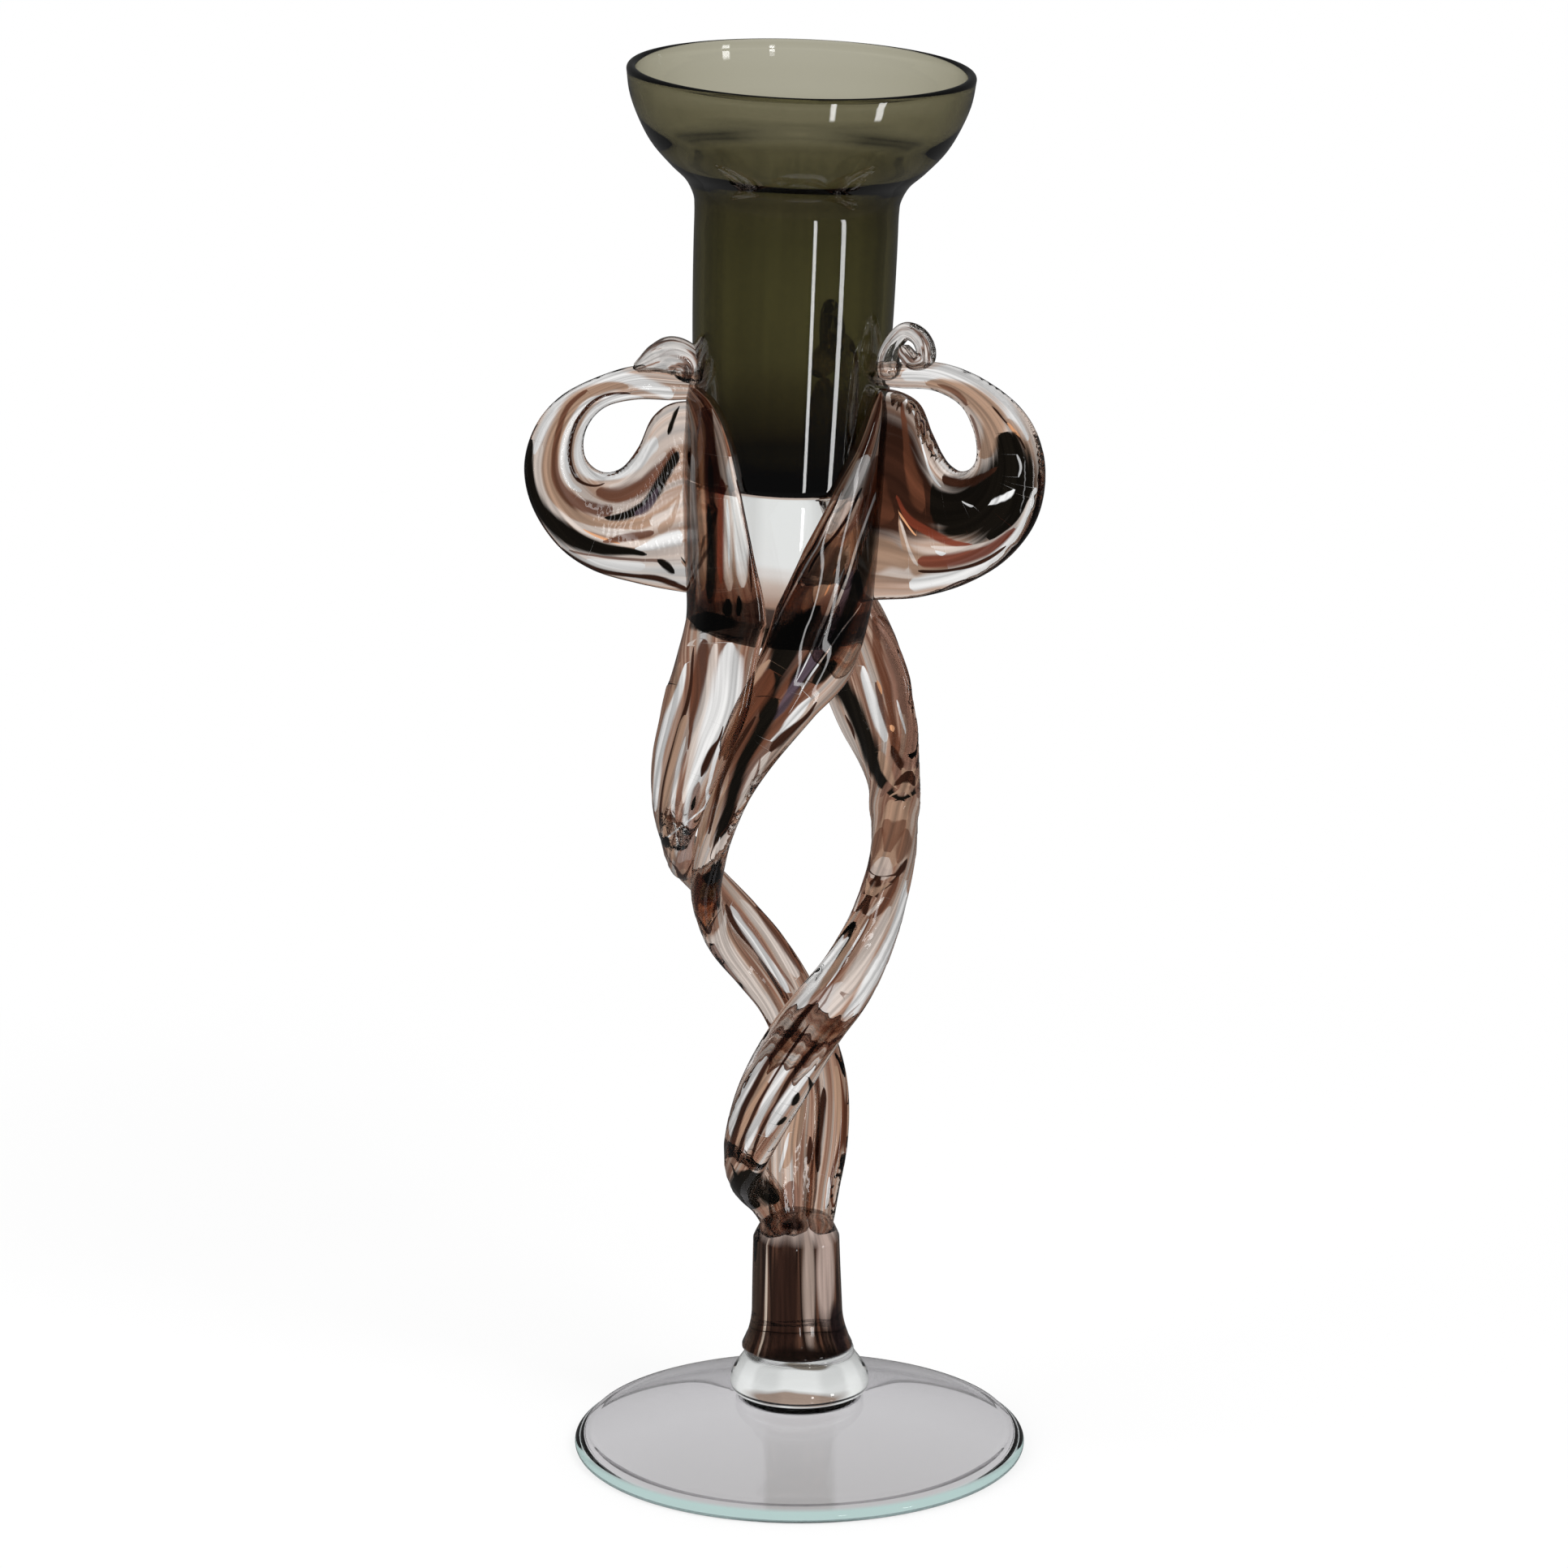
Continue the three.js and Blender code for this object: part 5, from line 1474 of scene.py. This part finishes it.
# It is also paler round the top and near black at its foot.
# The stump's dark marks are its own streaks, and its pale ones at its sides are painted highlights.
STUMP_STAINS_AND_HIGHLIGHTS = (
    (60.0, 8.0, 0, 400, (0.55, 0.44, 0.39)), (37.0, 15.0, -66, 9, (0.05, 0.03, 0.02)),
    (37.0, 16.0, -17, 20, (0.035, 0.015, 0.01)), (42.0, 14.0, 16, 9, (0.5, 0.38, 0.32)),
    (45.0, 13.0, 42, 14, (0.5, 0.38, 0.33)), (38.0, 14.0, -45, 2.5, (0.8, 0.66, 0.55)),
    (30.0, 7.0, 58, 12, (0.02, 0.01, 0.01)), (24.4, 3.4, 8, 52, (0.012, 0.006, 0.004)),
    (55.5, 1.2, -8, 22, (0.06, 0.035, 0.03)))
STUMP_STOPS = [
    (0.0, (0.5, 0.4, 0.35)),
    (0.22, (0.16, 0.09, 0.06)),
    (0.38, (0.02, 0.009, 0.006)),
    (0.5, (0.14, 0.065, 0.04)),
    (0.6, (0.02, 0.009, 0.006)),
    (0.78, (0.12, 0.065, 0.045)),
    (1.0, (0.55, 0.46, 0.42)),
]
CURL_STOPS = [
    (0.0, (0.95, 0.95, 0.94)),
    (0.4, (0.88, 0.84, 0.81)),
    (0.5, (0.35, 0.22, 0.17)),
    (0.58, (0.08, 0.05, 0.04)),
    (0.66, (0.8, 0.72, 0.67)),
    (1.0, (0.95, 0.95, 0.94)),
]


# Sizes and colours


class GlassColours(bpy.types.PropertyGroup):
    """Colours of the vase's glass."""

    olive: bpy.props.FloatVectorProperty(
        name="Olive", description="Absorption tint of the cup's glass", subtype="COLOR", size=3,
        default=(0.54, 0.515, 0.385), min=0, max=1)
    olive_density: bpy.props.FloatProperty(
        name="Olive Density", description="How strongly the cup's glass absorbs light, per metre",
        default=800.0, min=0)
    clear: bpy.props.FloatVectorProperty(
        name="Clear", description="Tint of the clear glass", subtype="COLOR", size=3,
        default=(0.9, 0.92, 0.91), min=0, max=1)


class GlassMesh(bpy.types.PropertyGroup):
    """How finely the pieces are made."""

    sides: bpy.props.IntProperty(
        name="Sides", description="Points round each strand and ear", default=96, min=16, max=200)
    strand_steps: bpy.props.IntProperty(
        name="Strand Steps", description="Rows along each strand", default=400, min=40, max=800)
    ear_steps: bpy.props.IntProperty(
        name="Ear Steps", description="Rows round each ear", default=220, min=40, max=400)
    turned_sides: bpy.props.IntProperty(
        name="Turned Sides", description="Points round the turned pieces", default=144, min=32, max=360)


class FluteSizes(bpy.types.PropertyGroup):
    """The lengthwise grooves in the drawn glass."""

    strand_flutes: bpy.props.FloatProperty(
        name="Strand Flutes", description="Ridges across a strand", default=3.0, min=0)
    strand_depth: bpy.props.FloatProperty(
        name="Strand Flute Depth", description="Depth of a strand's grooves", default=0.00008,
        subtype="DISTANCE", unit="LENGTH")
    ear_flutes: bpy.props.FloatProperty(
        name="Ear Flutes", description="Ridges across an ear", default=1.4, min=0)
    ear_depth: bpy.props.FloatProperty(
        name="Ear Flute Depth", description="Depth of an ear's grooves", default=0.00007,
        subtype="DISTANCE", unit="LENGTH")


class StudioSettings(bpy.types.PropertyGroup):
    """Camera and light of the studio."""

    distance: bpy.props.FloatProperty(
        name="Camera Distance", description="How far in front of the vase the camera stands",
        default=PHOTO_DISTANCE, subtype="DISTANCE", unit="LENGTH")
    height: bpy.props.FloatProperty(
        name="Camera Height", description="Height of the camera above the table", default=PHOTO_HEIGHT,
        subtype="DISTANCE", unit="LENGTH")
    pitch: bpy.props.FloatProperty(
        name="Camera Pitch", description="How far the camera looks down", default=PHOTO_PITCH,
        subtype="ANGLE", unit="ROTATION")
    lens: bpy.props.FloatProperty(
        name="Lens", description="Focal length on a 36 mm sensor, in millimetres", default=PHOTO_LENS,
        min=10)


# Operators


class VASE_OT_foot(bpy.types.Operator):
    """Make the clear foot and the clear ring on it"""

    bl_idname = "vase.foot"
    bl_label = "Foot and Ring"

    def execute(self, context):
        sides = context.scene.vase_mesh.turned_sides
        centre = (FOOT_X * MM, FOOT_Y * MM, 0)
        foot = foot_glass()
        ring = ring_glass(context.scene.vase_colours.clear)
        for name, node, profile, glass in (("vase_foot", "foot", foot_profile(), foot),
                                           ("vase_ring", "clear_ring", ring_profile(), ring)):
            rail = profile_rail(name, profile)
            piece = grown_piece(name, rail, "Turned Glass",
                                {"Sides": sides, "Centre": centre, "Material": glass})
            settle(piece, [node], "clear_glass")
        return {"FINISHED"}


class VASE_OT_stump(bpy.types.Operator):
    """Make the fluted stump that the strands run into"""

    bl_idname = "vase.stump"
    bl_label = "Stump"

    def execute(self, context):
        glass = streaked_glass("Smoky stump glass", 3.0, STUMP_STOPS, across=2.6, along=9.0, warp=0.7,
                               fine=0.25, lines=0.2, spots=STUMP_STAINS_AND_HIGHLIGHTS)
        rail = profile_rail("vase_stump", stump_profile(), lambda h: 1.0 if h > STUMP_LEVEL + 3 else 0.3)
        piece = grown_piece("vase_stump", rail, "Turned Glass", {
            "Sides": context.scene.vase_mesh.turned_sides, "Flutes": 5.0, "Flute Depth": 0.0003,
            "Flute Twist": 60.0, "Centre": ((FOOT_X + STUMP_SHIFT) * MM, FOOT_Y * MM, 0), "Material": glass})
        settle(piece, ["stump"], "smoky_glass")
        return {"FINISHED"}


class VASE_OT_cup(bpy.types.Operator):
    """Make the olive cup and its clear base, leaning together"""

    bl_idname = "vase.cup"
    bl_label = "Cup and Base"

    def execute(self, context):
        colours = context.scene.vase_colours
        sides = context.scene.vase_mesh.turned_sides
        centre = ((FOOT_X + RIM_SHIFT) * MM, FOOT_Y * MM, RIM_LEVEL * MM)
        for name, node, profile, glass, slot in (
            ("vase_cup", "cup", cup_profile(), olive_glass(colours.olive, colours.olive_density),
             "olive_glass"),
            ("vase_base", "cup_base", base_profile(), base_glass(), "clear_glass"),
        ):
            rail = profile_rail(name, profile)
            piece = grown_piece(name, rail, "Turned Glass", {
                "Sides": sides, "Centre": centre, "Lean": LEAN, "Material": glass})
            settle(piece, [node], slot)
        return {"FINISHED"}


class VASE_OT_strands(bpy.types.Operator):
    """Make the streaked strands with their leaves"""

    bl_idname = "vase.strands"
    bl_label = "Strands"

    def execute(self, context):
        mesh = context.scene.vase_mesh
        flutes = context.scene.vase_flutes
        coils = {
            "left": lambda share: 0.6 + 2.0 * share,
            "right": lambda share: 2.0 + 3.0 * share,
            "back": lambda share: 1.0 + 2.0 * share + 3.1 * clamp((share - 0.5) / 0.12),
        }
        for seed, (name, rows) in enumerate({"left": LEFT_ROWS, "right": RIGHT_ROWS,
                                             "back": BACK_ROWS}.items()):
            rail = strand_rail("vase_strand_" + name, rows, mesh.strand_steps, coils[name])
            glass = bpy.data.materials.new("Streaked glass " + name)
            piece = grown_piece("vase_strand_" + name, rail, "Swept Glass", {
                "Sides": mesh.sides, "Flutes": flutes.strand_flutes, "Flute Depth": flutes.strand_depth,
                "Material": glass})
            streaks = picked_streaks(STRAND_STREAKS[name], piece)
            channels = streak_channels(streaks)
            paint_streaks(piece, channels)
            streaked_glass(glass.name, 1.7 + seed * 2.3, STRAND_STOPS, channels, across=2.6, along=7.0,
                           warp=0.5, fine=0.3, leaf=True)
            settle(piece, ["strand_" + name], "streaked_glass")
        return {"FINISHED"}


class VASE_OT_loops(bpy.types.Operator):
    """Make the ear shaped loops"""

    bl_idname = "vase.loops"
    bl_label = "Loops"

    def execute(self, context):
        mesh = context.scene.vase_mesh
        flutes = context.scene.vase_flutes
        streaks = {}
        for seed, (name, ear) in enumerate(EARS.items()):
            rail = ear_rail("vase_loop_" + name, ear, mesh.ear_steps, 0.5 + seed)
            glass = bpy.data.materials.new("Ear glass " + name)
            piece = grown_piece("vase_loop_" + name, rail, "Swept Glass", {
                "Sides": mesh.sides, "Flutes": flutes.ear_flutes, "Flute Depth": flutes.ear_depth,
                "Material": glass})
            # The back ear doesn't show, so it has the left one's streaks
            if name in EAR_STREAKS:
                streaks[name] = picked_streaks(EAR_STREAKS[name], piece)
            channels = streak_channels(streaks.get(name, streaks["left"]))
            paint_streaks(piece, channels)
            streaked_glass(glass.name, 11.0 + seed * 3.1, EAR_STOPS, channels, across=2.0, along=7.0,
                           warp=0.4, lines=0.2, coat=0.0)
            settle(piece, ["loop_" + name], "streaked_glass")
        return {"FINISHED"}


class VASE_OT_curls(bpy.types.Operator):
    """Make the small curls of clear glass above the loops"""

    bl_idname = "vase.curls"
    bl_label = "Curls"

    def execute(self, context):
        glass = streaked_glass("Clear curl glass", 5.0, CURL_STOPS, across=1.4, along=60.0, warp=0.6,
                               edge=0.9, coat=1.0)
        for name, ear in EARS.items():
            rail = curl_rail("vase_curl_" + name, ear, CURL_STEPS)
            piece = grown_piece("vase_curl_" + name, rail, "Swept Glass", {
                "Sides": CURL_SIDES, "Flutes": 1.5, "Flute Depth": 0.0002, "Material": glass})
            settle(piece, ["curl_" + name], "clear_glass")
        return {"FINISHED"}


def mirror_ray(t, ray):
    return t.times(ray["Is Glossy Ray"], t.minus(1.0, ray["Is Transmission Ray"]))


def dark_gaps(t, azimuth):
    """Eight dark gaps between the studio's bright panels."""
    phase = t.math("FRACT", t.over(t.plus(azimuth, 360.0), 45.0))
    gap = t.gap(phase, 0.5)
    return t.ranged(gap, 0.3, 0.18)


def studio_world():
    """White to the camera, and a studio of pale panels, dark gaps and tall windows to the glass."""
    world = bpy.data.worlds.new("Studio")
    world.use_nodes = True
    world.node_tree.nodes.clear()
    t = Tree(world.node_tree)
    ray = t.node("ShaderNodeLightPath").outputs
    direction = t.node("ShaderNodeTexCoord").outputs["Generated"]
    parts = t.parts(direction)
    azimuth = azimuth_of(t, parts)
    rise = t.times(t.math("ARCSINE", parts[2]), DEGREES)

    def band(value, middle, half, soft):
        gap = t.gap(value, middle)
        return t.ranged(gap, half + soft, half)

    windows = None
    for middle, half, strength in ((21, 1.3, 14.0), (55, 2.2, 12.0)):
        window = t.times(band(azimuth, middle, half, 1.0), strength)
        windows = window if windows is None else t.plus(windows, window)
    windows = t.times(windows, band(rise, -12, 16, 4))
    dark = dark_gaps(t, azimuth)
    through = t.minus(1.0, t.times(dark, 0.15))
    high = t.ranged(rise, 12.0, 40.0)
    through = t.times(through, t.minus(1.0, t.times(high, 0.3)))
    through = t.times(through, 0.94)
    glossy = t.plus(windows, 0.09)

    strength = t.plus(ray["Is Camera Ray"], t.times(ray["Is Transmission Ray"], through))
    strength = t.plus(strength, t.times(mirror_ray(t, ray), glossy))
    strength = t.plus(strength, t.times(ray["Is Diffuse Ray"], 0.75))
    background = t.node("ShaderNodeBackground", {"Color": (1, 1, 1, 1), "Strength": strength})
    output = t.node("ShaderNodeOutputWorld")
    t.tree.links.new(background.outputs[0], output.inputs["Surface"])
    return world


def floor_material():
    """A pale table that keeps a soft shadow and fades to white."""
    material, t = new_material("Pale table")
    ray = t.node("ShaderNodeLightPath").outputs
    diffuse = t.node("ShaderNodeBsdfDiffuse", {"Color": (0.9, 0.9, 0.9, 1)}).outputs[0]
    place = t.place()
    parts = t.parts(place)
    far = t.node("ShaderNodeVectorMath", {0: place}, operation="LENGTH").outputs["Value"]
    azimuth = azimuth_of(t, parts)
    dark = t.times(dark_gaps(t, azimuth), t.ranged(far, 0.09, 0.2))
    below = t.times(t.minus(1.0, t.times(dark, 0.2)), 0.94)
    strength = t.plus(ray["Is Camera Ray"], t.times(ray["Is Transmission Ray"], below))
    strength = t.plus(strength, t.times(mirror_ray(t, ray), 0.12))
    white = t.node("ShaderNodeEmission", {"Color": (1, 1, 1, 1), "Strength": strength}).outputs[0]
    fade = t.ranged(far, 0.08, 0.4)
    share = t.math("MAXIMUM", 0.75, fade)
    bent = t.math("MAXIMUM", ray["Is Transmission Ray"], ray["Is Glossy Ray"])
    share = t.plus(t.times(share, ray["Is Camera Ray"]), bent)
    mix = t.node("ShaderNodeMixShader", {0: share, 1: diffuse, 2: white}).outputs[0]
    output = t.node("ShaderNodeOutputMaterial")
    t.tree.links.new(mix, output.inputs["Surface"])
    return material


def area_light(name, place, size, energy):
    """A square panel of light that looks at the middle of the vase."""
    light = bpy.data.lights.new(name, "AREA")
    light.shape = "RECTANGLE"
    light.size, light.size_y = size, size
    light.energy = energy
    lamp = bpy.data.objects.new(name, light)
    bpy.context.scene.collection.objects.link(lamp)
    lamp.location = place
    lamp.rotation_euler = (LIGHT_AIM - Vector(place)).to_track_quat("-Z", "Y").to_euler()
    lamp.visible_glossy = False
    lamp.visible_transmission = False
    return lamp


class VASE_OT_studio(bpy.types.Operator):
    """Make the table, the lights, the world and the camera"""

    bl_idname = "vase.studio"
    bl_label = "Studio"

    def execute(self, context):
        scene = context.scene
        bpy.ops.mesh.primitive_circle_add(vertices=TABLE_SIDES, radius=TABLE_RADIUS, fill_type="NGON",
                                          location=(0, 0, 0))
        table = context.object
        table.name = "Table"
        table.data.materials.append(floor_material())
        area_light("Key light", (1.2, -1.4, 1.9), 1.2, 28)
        area_light("Fill light", (-1.6, -0.6, 1.4), 1.4, 14)
        scene.world = studio_world()
        settings = scene.vase_studio
        camera_data = bpy.data.cameras.new("Camera")
        camera_data.lens = settings.lens
        camera_data.sensor_width = SENSOR_WIDTH
        camera_data.sensor_fit = "HORIZONTAL"
        camera = bpy.data.objects.new("Camera", camera_data)
        scene.collection.objects.link(camera)
        place = camera_place(settings.distance, settings.height, settings.pitch)
        camera.location, camera.rotation_euler = place
        scene.camera = camera
        scene.view_settings.view_transform = "Standard"
        return {"FINISHED"}


class VASE_PT_panel(bpy.types.Panel):
    """The vase's pieces and settings"""

    bl_idname = "VASE_PT_panel"
    bl_label = "Glass Vase"
    bl_space_type = "VIEW_3D"
    bl_region_type = "UI"
    bl_category = "Glass Vase"

    def draw(self, context):
        layout = self.layout
        for operator in OPERATORS:
            layout.operator(operator.bl_idname)
        for group in (context.scene.vase_colours, context.scene.vase_mesh, context.scene.vase_flutes,
                      context.scene.vase_studio):
            box = layout.box()
            for key in group.__annotations__:
                box.prop(group, key)


OPERATORS = (VASE_OT_foot, VASE_OT_stump, VASE_OT_cup, VASE_OT_strands, VASE_OT_loops, VASE_OT_curls,
             VASE_OT_studio)
GROUPS = (GlassColours, GlassMesh, FluteSizes, StudioSettings)


def register():
    for cls in GROUPS + OPERATORS + (VASE_PT_panel,):
        bpy.utils.register_class(cls)
    bpy.types.Scene.vase_colours = bpy.props.PointerProperty(type=GlassColours)
    bpy.types.Scene.vase_mesh = bpy.props.PointerProperty(type=GlassMesh)
    bpy.types.Scene.vase_flutes = bpy.props.PointerProperty(type=FluteSizes)
    bpy.types.Scene.vase_studio = bpy.props.PointerProperty(type=StudioSettings)


def unregister():
    for key in ("vase_colours", "vase_mesh", "vase_flutes", "vase_studio"):
        delattr(bpy.types.Scene, key)
    for cls in reversed(GROUPS + OPERATORS + (VASE_PT_panel,)):
        bpy.utils.unregister_class(cls)


def main():
    register()
    bpy.ops.vase.foot()
    bpy.ops.vase.stump()
    bpy.ops.vase.cup()
    bpy.ops.vase.strands()
    bpy.ops.vase.loops()
    bpy.ops.vase.curls()
    bpy.ops.vase.studio()


if __name__ == "__main__":
    main()
